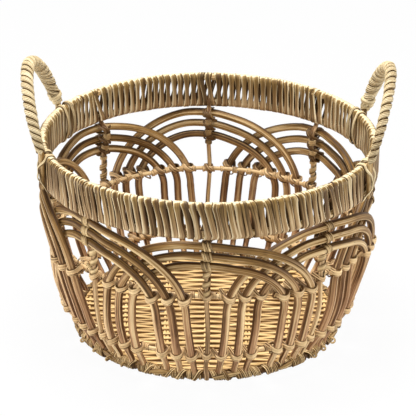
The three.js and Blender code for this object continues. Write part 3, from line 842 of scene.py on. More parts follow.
def make_rim_winding(scene, finish):
    """One strip round both hoops: down outside with a slant, up inside nearly upright."""
    rim = scene.basket_rim
    strands = Strands("rim_cane")
    rng = strands.rng
    angles, seats, heights, tilts, widths, shades, tones = rim_stations(scene, rng)
    tilts = np.radians(tilts)
    radii = rim.radius + seats * np.cos(tilts)
    places = polar(angles, radii, heights + seats * np.sin(tilts))
    travelled = distances(places)
    # Where the run is straight, the strip's edges turn a little out of the band
    straight = np.abs(np.sin(tilts)) < 0.01
    twist = wander(rng, travelled, 0.05, 0.2, closed=True) * straight
    outs = unit(rolled(angles, tilts) + facing(angles, *TANGENT) * twist[:, None])
    swell = 1 + wander(rng, travelled, 0.09, 0.06, closed=True)
    half = rim.cane_width / 2 * widths * swell
    # Painted light: the edge towards the nearer side of the basket, and so towards the nearer side
    # lamp, is a painted highlight, and the other edge is painted shade
    around = np.radians(angles)
    lit_last_edge = 0.5 - 0.5 * np.tanh(4 * np.cos(around) * (np.sin(around) - 0.2))[:, None]
    back = 2 * len(RIM_BACK)
    flipped = np.concatenate([RIM_PAINTED_LIGHT[:back][::-1], RIM_PAINTED_LIGHT[back:]])
    shades = shades[:, None] * (lit_last_edge * RIM_PAINTED_LIGHT + (1 - lit_last_edge) * flipped)
    strands.sweep(places, outs, RIM_CANE, half, rim.cane, closed=True, tone=tones, shade=shades)
    strands.make(finish, "binding", "rim_winding")


def bind(strands, origin, axes, rods, strip, offset, slant, section=BAND, smile=0.0, far_side_shade=0.5):
    """A closed turn of cane round two crossing rods. axes are the outer rod's own way, the way
    in which the turn crosses it, and the way out. rods are both rods' radii, the outer one's
    first, and how far their middle lines are apart. strip is the cane's width and thickness. The
    turn lies at an offset along the outer rod and crosses the inner one aslant. smile is how far
    it rises at both sides, and the last argument is how dark the painted shade is on its far
    side, where it faces away from the way out."""
    own, crossing, out = axes
    outer, inner, apart = rods
    width, height = strip
    wide = outer + CLEARANCE
    slim = inner + CLEARANCE
    lean = slant * outer
    back = -apart - slim
    corners = [
        (0, wide, -smile * 0.4, (0, 1, 0)),
        (wide * 0.72, wide * 0.7, lean * 0.6 + smile * 0.3, (0.7, 0.7, 0)),
        (wide, 0, lean + smile, (1, 0, 0.1)),
        (wide * 0.9, -apart + inner * 0.6, slim, (0.5, -0.2, 1)),
        (wide * 0.35, back, slim * 0.35, (0, -1, 0.2)),
        (-wide * 0.35, back, -slim * 0.35, (0, -1, -0.2)),
        (-wide * 0.9, -apart + inner * 0.6, -slim, (-0.5, -0.2, -1)),
        (-wide, 0, smile - lean, (-1, 0, -0.1)),
        (-wide * 0.72, wide * 0.7, smile * 0.3 - lean * 0.6, (-0.7, 0.7, 0)),
    ]
    stops = []
    for v, w, u, (dv, dw, du) in corners:
        place = origin + crossing * v + out * w + own * (u + offset)
        stops.append([*place, *(crossing * dv + out * dw + own * du)])
    path = through(stops, 0.0011, closed=True)
    # Painted shade on the turn where it faces away from the way out, into the crossing
    shade = 1 - far_side_shade * (1 - smooth(unit(path[:, 3:]) @ out * 1.25))
    strands.sweep(path[:, :3], path[:, 3:], section, width / 2, height, closed=True, shade=shade)


def coil(
    strands, path, outs, radius, turns, strip, phase=0.0, section=BAND, turned=None, tone=None
):
    """Winds an open strip round a rod's middle line from end to end. The radius and the strip's
    width may be one for all or one a place. turned is the share of the turns that is made at
    each place of the path."""
    width, height = strip
    steps = max(int(abs(turns) * 22), 8)
    travelled = distances(path)
    at = np.linspace(0, travelled[-1], steps)

    def at_steps(value):
        return np.interp(at, travelled, np.broadcast_to(value, travelled.shape))

    line = np.stack([at_steps(column) for column in path.T], axis=1)
    up = np.stack([at_steps(column) for column in outs.T], axis=1)
    ahead = unit(np.gradient(line, axis=0))
    up = unit(up - np.sum(up * ahead, axis=1, keepdims=True) * ahead)
    across = np.cross(ahead, up)
    share = np.linspace(0, 1, steps) if turned is None else at_steps(turned)
    turn = (turns * share + phase) * 2 * np.pi
    out = up * np.cos(turn)[:, None] + across * np.sin(turn)[:, None]
    places = line + out * at_steps(radius)[:, None]
    strands.sweep(places, out, section, at_steps(width) / 2, height, tone=tone)


def tail(strands, start, way, out, size):
    """A cut end of cane that sticks out of a binding."""
    reach = np.linspace(0, 1, 7)[:, None]
    bend = Vector(way).cross(Vector(out))
    places = start + way * size * reach + np.array(bend) * size * 0.12 * reach**2
    width, height = CUT_END
    strands.sweep(places, out, BAND, width / 2, height)


# Cut ends of cane that show: stake's number, height, tangential and upward way, and length
TAILS = (
    (4, 0.177, 0.9, 0.15, 0.012),
    (5, 0.178, -0.8, -0.55, 0.011),
    (6, 0.181, -1, 0.05, 0.012),
    (2, 0.128, 0.9, -0.3, 0.012),
    (8, 0.122, -0.8, 0.35, 0.009),
    (3, 0.180, 0.8, 0.5, 0.009),
    (7, 0.169, -0.8, 0.4, 0.008),
)


# Turns of cane round a crown, from one to the next as a share of the width, and their slant
CROWN_TURNS = 4
CROWN_STEP = 0.94
CROWN_SLANT = -0.45

# How far the coil below a crown climbs in a turn, how far it stays off the crowns, and how far
# it goes below the inner one
COIL_LEAD = 0.003
COIL_MARGIN = 0.003
COIL_END = 0.013


def make_crown_lashings(scene, finish):
    """Strips round each crown and its stake, and round the stake between the crowns."""
    wall = Wall(scene)
    for group in range(wall.sizes.groups):
        strands = Strands(f"crown_cane_{group + 1}")
        rng = strands.rng
        angle = group * wall.pitch
        axes = axes_at(angle, TANGENT, UPWARD, OUTWARD)
        stake = stake_path(wall, group)
        stake_radii = np.hypot(stake[:, 0], stake[:, 1])
        for ring in range(wall.sizes.rings):
            crown = wall.crossing(group, ring)
            radius = float(wall.radius(crown))
            rods = (wall.rod, wall.stake, radius - np.interp(crown, stake[:, 2], stake_radii))
            lean = CROWN_SLANT + rng.normal(0, 0.15)
            for k in range(CROWN_TURNS):
                beside = (k - (CROWN_TURNS - 1) / 2) * CROWN_CANE[0] * CROWN_STEP
                offset = beside + rng.normal(0, 0.00025) - 0.0006 * ring
                origin = polar(angle, radius, crown + rng.normal(0, 0.0003))
                slant = lean + rng.normal(0, 0.06)
                bind(strands, origin, axes, rods, CROWN_CANE, offset, slant, far_side_shade=0.8)
            low = wall.crossing(group, ring + 1) if ring < wall.last else crown - COIL_END
            line = between(stake, low + COIL_MARGIN, crown - COIL_MARGIN)
            turns = (crown - low - 2 * COIL_MARGIN) / COIL_LEAD
            coil(strands, line, line * AWAY, wall.stake + 0.0004, turns, CROWN_COIL, rng.random())
        for owner, level, along, upward, size in TAILS:
            if owner == group + 1:
                radius = np.interp(level, stake[:, 2], stake_radii) + 0.002
                way = facing(angle, along, 0.1, upward)
                tail(strands, polar(angle, radius, level), way, facing(angle, 0, 1, 0.2), size)
        strands.make(finish, "binding", f"crown_lashing_{group + 1}")


# Groups whose stakes have cane wound down them, and how far down one turn of it goes
WOUND_STAKES = (0, 1, 3, 5, 7)
WOUND_LEAD = 0.0115


def make_wound_stakes(scene, finish):
    """Cane wound down some of the stakes, from the inner crown to the mid ring."""
    wall = Wall(scene)
    for group in WOUND_STAKES:
        strands = Strands(f"stake_cane_{group + 1}")
        rng = strands.rng
        stake = stake_path(wall, group)
        top = wall.crossing(group, wall.last) - 0.01
        line = between(stake, wall.rings.middle + 0.002, top)[::-1]
        travelled = distances(line)
        reach = wall.stake + 0.0003 + np.abs(wander(rng, travelled, 0.012, 0.0009))
        turns = travelled[-1] / WOUND_LEAD
        coil(strands, line, line * AWAY, reach, turns, STAKE_CANE, rng.random())
        strands.make(finish, "binding")


# Within this many degrees of the front, slanting strips lead from the rings to the collars
LINKED_ANGLE = 62

# How far a collar rises at its sides, and how far a ring's coil goes along it in a turn
COLLAR_SMILE = 0.0016
RING_LEAD = 0.0021


def tie_upright(ties, wall, ring_radius, height, upright):
    """A collar and a fine turn round a leg or stake, and coils on the ring at both its sides."""
    rng = ties.rng
    ring = wall.rings.rod / 2
    angle, out, half = upright
    level = height + rng.normal(0, 0.0005)
    origin = polar(angle, out, level)
    axes = axes_at(angle, UPWARD, TANGENT, OUTWARD)
    wide = wall.rings.tie * rng.uniform(0.85, 1.15)
    slant = rng.normal(0.1, 0.12)
    apart = out - ring_radius
    slack = 0.0004
    snug = (half + slack, ring, min(apart, half + ring + 0.001))
    collar = (wide, COLLAR_CANE)
    bind(ties, origin, axes, snug, collar, 0.0006, slant, COLLAR, COLLAR_SMILE, far_side_shade=0.3)
    around = (half + slack, ring, apart)
    bind(ties, origin, axes, around, TIE_CANE, slack - wide * 0.6, slant - 0.1, smile=0.001)
    if abs((angle + 180) % 360 - 180) < LINKED_ANGLE:
        along = math.degrees(rng.uniform(0.008, 0.011) / out)
        rise = rng.uniform(0.006, 0.010)
        stops = [
            (angle - along, ring_radius + 0.0015, level + rise),
            (angle - along * 0.6, ring_radius + half + 0.002, level + rise * 0.5),
            (angle - along * 0.2, out + half + 0.0008, level + 0.0002),
            (angle + along * 0.25, out + half + 0.0006, level - 0.0022),
        ]
        path = through([[*polar(*stop), *facing(stop[0], -0.2, 1, 0.2)] for stop in stops], 0.0012)
        width, thickness = LINK_CANE
        ties.sweep(path[:, :3], path[:, 3:], GROOVED, width / 2, thickness, shade=0.85)
    for side in (-1, 1):
        turns = rng.uniform(1.3, 3)
        near_leg = angle + side * math.degrees((half + 0.0012) / ring_radius)
        far = near_leg + side * math.degrees(turns * RING_LEAD / ring_radius)
        line = polar(np.linspace(near_leg, far, 8), ring_radius, level)
        coil(ties, line, line * AWAY, ring + 0.0003, turns, RING_COIL, rng.random())


def make_rings(scene, finish):
    """Both binding rings, and what ties them to the legs and the stakes."""
    wall = Wall(scene)
    rings = wall.rings
    for name, height in (("mid", rings.middle), ("lower", rings.lower)):
        radius = float(wall.ring_radius(height))
        hoop = Strands(f"binding_ring_{name}")
        places, outs = hoop_path(radius, height, 1.5)
        travelled = distances(places)
        sag = wander(hoop.rng, travelled, 0.12, 0.0007, closed=True)
        places = places + sag[:, None] * UPWARD
        thick = rings.rod / 2 * (1 + wander(hoop.rng, travelled, 0.05, 0.06, closed=True))
        hoop.sweep(places, outs, FINE, thick, thick, closed=True)
        hoop.make(finish, "ring", f"{name}_ring")
        ties = Strands(f"ring_ties_{name}")
        for upright in wall.uprights(height):
            tie_upright(ties, wall, radius, height, upright)
        ties.make(finish, "binding", f"{name}_ring_tie")


class Handle:
    """The middle line of a handle's rod, and its thickness along it."""

    def __init__(self, scene, side):
        sizes = scene.basket_handles
        rim = scene.basket_rim
        index = 0 if side < 0 else 1
        self.index = index
        half_span = sizes.half_spans[index]
        self.sizes = sizes
        self.foot_radius = rim.radius + rim.hoop / 2 + CLEARANCE
        self.tip = rim.lower - rim.hoop / 2
        self.neck = rim.upper + rim.hoop / 2 + rim.cane + 0.0007
        middle = side * sizes.angles[index]
        neck_radius = self.foot_radius + sizes.neck / 2
        half = neck_radius * math.sin(math.radians(half_span))
        chord = neck_radius * math.cos(math.radians(half_span))
        rise = rim.upper + sizes.rises[index] - self.neck
        tangent = facing(middle, *TANGENT)
        outward = facing(middle, *OUTWARD)
        turn = np.linspace(0, math.pi, 61)
        power = 2 / sizes.squareness
        along = -np.sign(np.cos(turn)) * half * np.abs(np.cos(turn)) ** power
        heights = self.neck + rise * np.maximum(np.sin(turn), 0) ** power
        lean = sizes.lean * (heights - self.neck) / rise
        loop = tangent * along[:, None] + outward * (chord + lean)[:, None]
        loop[:, 2] = heights
        levels = np.linspace(self.tip, self.neck, 8)[:-1]
        feet = [
            polar(middle + end * half_span, self.foot_radius + self.thickness(levels), levels)
            for end in (-1, 1)
        ]
        self.path = through(np.vstack([feet[0], loop, feet[1][::-1]]), 0.002)
        self.out = np.broadcast_to(outward, self.path.shape)
        # 0 at the front foot and 1 at the rear foot
        share = np.linspace(0, 1, len(self.path))
        self.rearward = share if side > 0 else 1 - share

    def thickness(self, heights):
        """Half of the solid rod's thickness, from its pared end to the full rod."""
        sizes = self.sizes
        share = np.clip((heights - self.tip) / (self.neck - self.tip), 0, 1)
        low = sizes.tip + (sizes.neck - sizes.tip) * share
        full = smooth((heights - self.neck) / sizes.neck_length)
        high = sizes.neck + (sizes.core - sizes.neck) * full
        return np.where(heights < self.neck, low, high) / 2

    def along_path(self):
        """Half of the rod's thickness at each place of its path, thinner in the front leg."""
        heights = self.path[:, 2]
        above = smooth((heights - self.neck) / 0.01)
        front = self.sizes.fronts[self.index]
        rear = self.sizes.rears[self.index]
        share = front + (rear - front) * smooth(self.rearward * 1.3 - 0.15)
        return self.thickness(heights) * (1 + above * (share - 1))


# Thick turns above each handle's rear foot: from and to which height above the rim, how far
# outside the rod, and their thickness
THICK_TURNS = ((0.0075, 0.0145, 0.0014, 0.0026), (0.001, 0.0065, 0.0005, 0.002))


def make_handles(scene, rod_finish, cane_finish):
    """Each handle's rod, the strips wound on it, and thick turns above its rear foot."""
    sizes = scene.basket_handles
    for name, side in (("left", -1), ("right", 1)):
        handle = Handle(scene, side)
        core = Strands(f"handle_rod_{name}")
        thick = handle.along_path()
        core.sweep(handle.path, handle.out, ROUND, thick, thick)
        core.make(rod_finish, "rod", f"handle_core_{name}")
        cane = Strands(f"handle_cane_{name}")
        wound = handle.path[:, 2] > handle.neck + 0.001
        line = handle.path[wound]
        travelled = distances(line)
        turns = sizes.turns[handle.index]
        strips = sizes.strips[handle.index]
        # The strips run steeper on the rear leg
        rate = 1 - 0.4 * smooth(handle.rearward[wound] * 1.6 - 0.35)
        turned = np.cumsum(rate) / np.sum(rate)
        lead = travelled[-1] / abs(turns) * np.mean(rate) / rate
        girth = 2 * np.pi * (thick[wound] + 0.001)
        shape = (lead / strips * np.cos(np.arctan(lead / girth)) * 0.93, HANDLE_CANE)
        for strip in range(strips):
            bulge = wander(cane.rng, travelled, 0.014, 0.0003)
            reach = thick[wound] + CLEARANCE + bulge
            tone = 0.35 + 0.3 * cane.rng.random()
            winding = (turns, shape, strip / strips, TURN, turned, tone)
            coil(cane, line, handle.out[wound], reach, *winding)
        level = handle.path[:, 2] - handle.neck
        for low, high, lift, height in THICK_TURNS:
            part = (handle.rearward > 0.5) & (level > low) & (level < high)
            reach = thick[part] + lift
            coil(cane, handle.path[part], handle.out[part], reach, 1.2, (high - low, height))
        cane.make(cane_finish, "binding", f"handle_winding_{name}")


def on_hoop(rim, middle, height, turn, along):
    """A stop outside a hoop: its place and its way out, turned in degrees from outward up."""
    tilt = math.radians(turn)
    around = rim.hoop / 2 + rim.cane + 0.0006
    radius = rim.radius + around * math.cos(tilt)
    level = height + around * math.sin(tilt)
    place = polar(middle + math.degrees(along / radius), radius, level)
    return [*place, *facing(middle, 0, math.cos(tilt), math.sin(tilt))]


def make_handle_lashings(scene, finish):
    """Pairs of strips that cross over each foot of a handle and go round both hoops."""
    rim = scene.basket_rim
    sizes = scene.basket_handles
    width, thickness = HANDLE_LASHING
    for side, end, middle in handle_feet(scene):
        foot = f"{'left' if side < 0 else 'right'}_{'front' if end < 0 else 'rear'}"
        strands = Strands(f"foot_cane_{foot}")
        handle = Handle(scene, side)
        for strip in (-0.5, 0.5):
            beside = sizes.neck / 2 + 0.0035 + strip * width
            stops = []
            # The second half crosses over the first
            for half, over in ((-1, 0.0), (1, 0.0013)):
                stops.append(on_hoop(rim, middle, rim.upper, 0, half * beside))
                for share in (0.25, 0.5, 0.75):
                    level = rim.upper + (rim.lower - rim.upper) * share
                    out = handle.foot_radius + 2 * float(handle.thickness(level))
                    aside = math.degrees(half * beside * (1 - 2 * share) / rim.radius)
                    place = polar(middle + aside, out + CLEARANCE + over, level)
                    stops.append([*place, *facing(middle, *OUTWARD)])
                for turn in (0, -60, -120, -180):
                    stops.append(on_hoop(rim, middle, rim.lower, turn, -half * beside))
                for turn in (180, 120, 60):
                    stops.append(on_hoop(rim, middle, rim.upper, turn, -half * beside))
            path = through(stops, 0.0014, closed=True)
            strands.sweep(path[:, :3], path[:, 3:], BAND, width / 2, thickness, closed=True)
        strands.make(finish, "binding", f"handle_lashing_{foot}")


# The foot border's core, as a share of the border's full size
CORE_SHARE = 0.36

# A bundle of the foot border: its strips, where they start and how far they go round the core
# in degrees, and how much deeper the last one lies, as a share of the border's half size
BUNDLE_STRIPS = 6
BUNDLE_START = -205
BUNDLE_WRAP = 330
BUNDLE_SUNK = 0.24

# Half width and thickness of the curled ends
CURL_ROD = (0.0013, 0.0011)

# Ends of cane that curl out of the border: angle and radius
CURLS = (
    (50, 0.0024), (57, 0.002), (65, 0.0026), (-37, 0.0022), (-45, 0.0028), (-54, 0.002),
    (-64, 0.0024), (104, 0.0022), (-110, 0.0024), (148, 0.0024), (-163, 0.0022),
)

# Broad strips that lie along the border: first angle, degrees covered, and turn round it
LEAVES = (
    (-25, 10, 50), (2.5, 11, 45), (-49, 9, -40), (31, 9, 40), (64, 10, -30),
    (-82, 10, 40), (118, 11, 40), (160, 10, -40), (205, 11, 40), (249, 10, -40),
)
LEAF_WIDTH = 0.0062


class Border:
    """The foot border, and where strips lie round its core."""

    def __init__(self, foot):
        self.radius = foot.radius
        self.middle = foot.height / 2
        self.half = foot.width / 2 - 0.0012
        self.low = foot.height / 2 - 0.0011

    def wrap(self, angles, turn, out, up, lift=0.0, lowest=0.0):
        """Places and ways out round the core, turned in radians from outward to upward."""
        radii = self.radius + out * np.cos(turn)
        heights = np.maximum(self.middle + lift + up * np.sin(turn), lowest)
        return polar(angles, radii, heights), rolled(angles, turn)


def roll_bundles(strands, foot, border):
    """Bundles of strips wound round the core, each bundle over the next."""
    rng = strands.rng
    share = np.linspace(0, 1, 22)
    step = 360 / foot.bundles / (BUNDLE_STRIPS + 0.35)
    for k in range(foot.bundles):
        start = (k + rng.normal(0, 0.08)) * 360 / foot.bundles
        advance = rng.uniform(0.5, 6.5)
        first = rng.normal(BUNDLE_START, 12)
        swell = rng.normal(1.03, 0.09)
        tone = rng.random()
        for strip in range(BUNDLE_STRIPS):
            # The last strip of a bundle lies under the first of the next one, and is painted darker
            # as shade
            sunk = BUNDLE_SUNK * (strip == BUNDLE_STRIPS - 1)
            turn = np.radians(first + (BUNDLE_WRAP + rng.normal(0, 12)) * share)
            size = swell * (1 + 0.12 * np.sin(np.pi * share) + rng.normal(0, 0.03)) - sunk
            angles = start + strip * step + (advance + rng.normal(0, 0.3)) * share
            width = math.radians(step) * foot.radius * rng.uniform(0.92, 1.1)
            width = width * (1 - 0.3 * np.abs(2 * share - 1) ** 3)
            shown = np.clip(tone + rng.normal(0, 0.12), 0, 1)
            # Painted shade: darker on the sunk strip and where a strip turns to the inner side of
            # the core, and paler where it faces out
            shade = (1.1 - 4 * sunk) * (0.72 + 0.4 * np.cos(turn))
            reach = (border.half * size, border.low * size)
            places, ways = border.wrap(angles, -turn, *reach, lowest=0.0013)
            strands.sweep(places, ways, GROOVED, width / 2, FOOT_CANE, tone=shown, shade=shade)


def stand_knots(strands, foot, border):
    """Single strips that stand proud of the border, and lean away from the front."""
    rng = strands.rng
    share = np.linspace(0, 1, 16)
    turn = np.radians(85 - 165 * share)
    for k in range(foot.knots):
        angle = (k + rng.uniform(-0.35, 0.35)) * 360 / foot.knots
        proud = 1.05 + rng.uniform(0.15, 0.55) * np.sin(np.pi * share)
        lean = rng.uniform(1, 5) * math.copysign(1, math.sin(math.radians(angle)))
        width = rng.uniform(0.0036, 0.0052)
        reach = (border.half * proud, border.low * proud)
        places, ways = border.wrap(angle + lean * share, turn, *reach, lowest=0.0021)
        strands.sweep(places, ways, GROOVED, width / 2, FOOT_CANE)


def make_foot(scene, finish):
    """A border of cane wound round a core, with strips, curled ends and broad strips on it."""
    foot = scene.basket_foot
    border = Border(foot)
    strands = Strands("foot_cane")
    core, outs = hoop_path(foot.radius, border.middle, 2)
    radii = (foot.width * CORE_SHARE, foot.height * CORE_SHARE)
    # The core is painted dark, as shade where it shows between the strips
    strands.sweep(core, outs, ROUND, *radii, closed=True, shade=0.2)
    roll_bundles(strands, foot, border)
    stand_knots(strands, foot, border)
    turn = np.radians(np.linspace(-140, 190, 24))
    for angle, size in CURLS:
        radii = foot.radius + border.half + 0.0016 + size * (1 + np.cos(turn))
        heights = np.maximum(border.middle + size * np.sin(turn), 0.0014)
        angles = angle + 1.2 * np.linspace(0, 1, 24)
        strands.sweep(polar(angles, radii, heights), rolled(angles, turn), FINE, *CURL_ROD)
    share = np.linspace(0, 1, 14)
    half = LEAF_WIDTH * np.sin(np.pi * (0.06 + 0.88 * share)) ** 0.7 / 2
    reach = (border.half + 0.0012, border.low)
    for angle, covered, rise in LEAVES:
        turn = np.radians(10 + rise * (share - 0.5))
        places, ways = border.wrap(angle + covered * share, turn, *reach, lift=0.001)
        strands.sweep(places, ways, BAND, half, FOOT_CANE, shade=0.95)
    strands.make(finish, "floor", "foot_border")


# The floor's sticks: half the gap in a pair, and half width and thickness
STICK_APART = 0.0018
STICK_ROD = (0.0016, 0.0013)

# The floor's weave: how far a row goes up and down, and its half width and thickness
ROW_WAVE = 0.0015
ROW_HALF = 0.0026
ROW_CANE = 0.0018

# Half width and thickness of the strand between two rows, which is painted dark as shade
SHADE_STRAND = (0.0022, 0.0006)


def make_floor(scene, finish):
    """Pairs of sticks, and rows of weave that go over one pair and under the next."""
    foot = scene.basket_foot
    level = foot.floor_height
    edge = foot.radius - foot.width * CORE_SHARE
    sticks = Strands("floor_sticks")
    pairs = int(edge / foot.stick_gap)
    for k in range(-pairs, pairs + 1):
        for side in (-1, 1):
            x = k * foot.stick_gap + side * STICK_APART
            reach = math.sqrt(edge**2 - x**2)
            places = np.stack(np.broadcast_arrays(x, np.linspace(-reach, reach, 24), level), axis=1)
            sticks.sweep(places, UPWARD, FINE, *STICK_ROD)
    sticks.make(finish, "floor", "floor_spokes")
    weave = Strands("floor_strands")
    rng = weave.rng
    rows = int(2 * edge / foot.row)
    for row in range(rows):
        y = (row - (rows - 1) / 2) * foot.row
        reach = math.sqrt(edge**2 - y**2)
        x = np.linspace(-reach, reach, max(int(2 * reach / 0.0022), 12))
        travelled = x + reach
        slip = wander(rng, travelled, 0.12, 0.35)
        wave = np.cos(math.pi * (x / foot.stick_gap + row) + slip)
        heights = level + ROW_WAVE * wave + wander(rng, travelled, 0.06, 0.0002)
        places = np.stack([x, y + wander(rng, travelled, 0.07, 0.0008), heights], axis=1)
        half = ROW_HALF * (1 + 0.08 * wave + wander(rng, travelled, 0.03, 0.08))
        # Painted light and shade: a row is paler where it rises over a pair of sticks and darker
        # where it dips under one
        weave.sweep(places, UPWARD, WEAVER, half, ROW_CANE, shade=0.84 + 0.2 * wave)
        # A fine strand, painted dark as shade, closes the gap between this row and the next
        places = np.stack(np.broadcast_arrays(x, y + foot.row / 2, level - 0.0002), axis=1)
        weave.sweep(places, UPWARD, FILLER, *SHADE_STRAND, shade=0.2)
    # The outermost strand lies against the foot border
    places = polar(np.arange(0, 360, 1.5), edge - 0.001, level + 0.0003)
    weave.sweep(places, UPWARD, WEAVER, 0.0024, ROW_CANE, closed=True, shade=0.7)
    weave.make(finish, "floor", "floor_weave")


class Wire:
    """One output of a material's nodes. A sum with it adds the Math node that works it out."""

    def __init__(self, finish, socket):
        self.finish = finish
        self.socket = socket

    def math(self, operation, first, second):
        return self.finish.node("ShaderNodeMath", {"operation": operation}, {0: first, 1: second})

    def __add__(self, other):
        return self.math("ADD", self, other)

    def __radd__(self, other):
        return self.math("ADD", other, self)

    def __sub__(self, other):
        return self.math("SUBTRACT", self, other)

    def __rsub__(self, other):
        return self.math("SUBTRACT", other, self)

    def __mul__(self, other):
        return self.math("MULTIPLY", self, other)


SEEN_RAYS = ("Is Camera Ray", "Is Glossy Ray", "Is Transmission Ray")


class Finish:
    """A material and its node tree."""

    def __init__(self, tree):
        self.tree = tree
        tree.nodes.clear()

    def node(self, kind, settings=None, sockets=None, output=0):
        """Adds a node: its settings first, then the values or links of its sockets."""
        node = self.tree.nodes.new(kind)
        for name, value in (settings or {}).items():
            setattr(node, name, value)
        for key, value in (sockets or {}).items():
            if isinstance(value, Wire):
                self.tree.links.new(value.socket, node.inputs[key])
            else:
                node.inputs[key].default_value = value
        return Wire(self, node.outputs[output]) if node.outputs else node

    def mix(self, share, first, second, blend="MIX"):
        """A colour between two colours."""
        settings = {"data_type": "RGBA", "blend_type": blend, "clamp_factor": True}
        first = first if isinstance(first, Wire) else (*first, 1)
        second = second if isinstance(second, Wire) else (*second, 1)
        return self.node("ShaderNodeMix", settings, {0: share, 6: first, 7: second}, 2)

    def attribute(self, name, output="Fac"):
        return self.node("ShaderNodeAttribute", {"attribute_name": name}, output=output)

    def noise(self, where, stretch, detail=3.0, roughness=0.55):
        """Noise on the straightened strand, drawn out by a scale for each way."""
        settings = {"operation": "MULTIPLY"}
        scaled = self.node("ShaderNodeVectorMath", settings, {0: where, 1: stretch})
        sockets = {"Vector": scaled, "Scale": 1.0, "Detail": detail, "Roughness": roughness}
        return self.node("ShaderNodeTexNoise", None, sockets)

    def seen(self):
        """1 for rays from the camera, a reflection or a clear surface, and 0 for the others."""
        rays = [self.node("ShaderNodeLightPath", output=name) for name in SEEN_RAYS]
        return rays[0] + rays[1] + rays[2]

    def spread(self, value, low, high):
        """Stretches a value so that low becomes 0 and high becomes 1."""
        sockets = {"Value": value, "From Min": low, "From Max": high}
        return self.node("ShaderNodeMapRange", {"clamp": True}, sockets)


# What rattan's dark fibres, and its painted shade, take of its tint, for each colour
DARK_FIBRE_AND_SHADE = (0.22, 0.16, 0.1)


def darker(tint, share):
    return tuple(c * share for c in tint)


def rattan(
    name, tint, pale, low_tint=None, levels=None, streaks=0.7, tones=0.3, spots=0.5, grooves=0.7
):
    """Rattan: fibres and bands along the strand, blotches, dark grooves and small marks, and the
    painted light and painted shade that each strand carries in an attribute. It may turn to a
    second tint from the first of two levels down to the other."""
    material = bpy.data.materials.new(name)
    material.use_nodes = True
    finish = Finish(material.node_tree)
    where = finish.attribute("straight", "Vector")
    tone = finish.attribute("tone")
    rib_and_painted_light = finish.attribute("rib_and_painted_light")
    fibres = finish.noise(where, (1500, 1500, 22), 4)
    threads = finish.noise(where, (480, 480, 8), 2)
    bands = finish.noise(where, (210, 210, 4), 2)
    blotches = finish.noise(where, (55, 55, 26), 3)
    marks = finish.noise(where, (330, 330, 95), 2)
    base = tuple(tint)
    if low_tint:
        place = finish.node("ShaderNodeTexCoord", output="Object")
        height = finish.node("ShaderNodeSeparateXYZ", None, {0: place}, 2)
        base = finish.mix(finish.spread(height, *levels), base, tuple(low_tint))
    light = finish.spread(fibres * 0.25 + threads * 0.35 + bands * 0.4, 0.4, 0.6)
    patch = finish.spread(blotches, 0.34, 0.68)
    shade = 0.5 + (light - 0.5) * streaks + (patch - 0.5) * 0.24 + (tone - 0.5) * tones
    # The strand's own paleness moves the colour between dark and lit; it carries the painted
    # highlights and painted shade swept with the strand
    shade = shade + (rib_and_painted_light - 0.75) * 1.1
    dark = finish.mix(1.0, base, DARK_FIBRE_AND_SHADE, "MULTIPLY")
    lit = finish.mix(0.75, base, tuple(pale))
    body = finish.mix(finish.spread(shade, 0.0, 0.5), dark, base)
    body = finish.mix(finish.spread(shade, 0.5, 1.05), body, lit)
    body = finish.mix(finish.spread(threads, 0.42, 0.32) * grooves, body, darker(tint, 0.25))
    body = finish.mix(finish.spread(threads, 0.60, 0.70) * grooves * 0.6, body, lit)
    body = finish.mix(finish.spread(marks, 0.66, 0.74) * spots, body, darker(tint, 0.3))
    relief = {"Strength": 0.6, "Distance": 0.0004, "Height": fibres * 0.4 + threads * 0.6}
    bump = finish.node("ShaderNodeBump", None, relief)
    sockets = {
        "Base Color": body,
        "Roughness": 0.5 + (0.5 - light) * 0.16,
        "Specular IOR Level": 0.22,
        "Normal": bump,
    }
    shader = finish.node("ShaderNodeBsdfPrincipled", None, sockets)
    finish.node("ShaderNodeOutputMaterial", None, {"Surface": shader})
    return material


# Filled by finishes()
SURFACES = {}


def finishes(scene):
    """The basket's materials, made once."""
    tints = scene.basket_finishes
    pale = tints.pale
    cream = tints.cream
    levels = (scene.basket_rim.upper, scene.basket_rim.lower)
    if not SURFACES:
        SURFACES["rod"] = rattan(
            "rattan rods", tints.rod, pale, tints.rod_low, (0.16, 0.06), streaks=0.8, tones=0.15
        )
        SURFACES["stake"] = rattan("rattan stakes", tints.stake, pale)
        SURFACES["cane"] = rattan(
            "rim cane", tints.cane, cream, tints.cane_low, levels, streaks=0.5, tones=0.2, spots=0.3
        )
        SURFACES["handle"] = rattan(
            "handle cane", tints.handle, cream, streaks=0.5, spots=0.15, grooves=0.3
        )
        SURFACES["lashing"] = rattan("lashing cane", tints.lashing, pale, streaks=0.6)
        SURFACES["ring"] = rattan("rattan rings", tints.ring, pale, streaks=0.5)
        SURFACES["floor"] = rattan(
            "woven floor", tints.floor, pale, streaks=0.3, spots=0.3, grooves=0.3
        )
        SURFACES["foot"] = rattan("rolled foot cane", tints.foot, pale, streaks=0.6)
    return SURFACES


def stage_material(name, tint, shown):
    """Plain matt, and nearly white where the camera or a reflection sees it."""
    material = bpy.data.materials.new(name)
    material.use_nodes = True
    finish = Finish(material.node_tree)
    matt = finish.node("ShaderNodeBsdfDiffuse", None, {"Color": (*tint, 1)})
    white = finish.node("ShaderNodeEmission", None, {"Color": (1, 1, 1, 1), "Strength": 1.0})
    shader = finish.node(
        "ShaderNodeMixShader", None, {0: finish.seen() * shown, 1: matt, 2: white}
    )
    finish.node("ShaderNodeOutputMaterial", None, {"Surface": shader})
    return material


# The stage floor's half width, its height and its colour, and how white the camera sees it
STAGE_HALF = 6.0
STAGE_LEVEL = -0.0002
STAGE_TINT = (0.7, 0.7, 0.7)
STAGE_SHOWN = 0.96

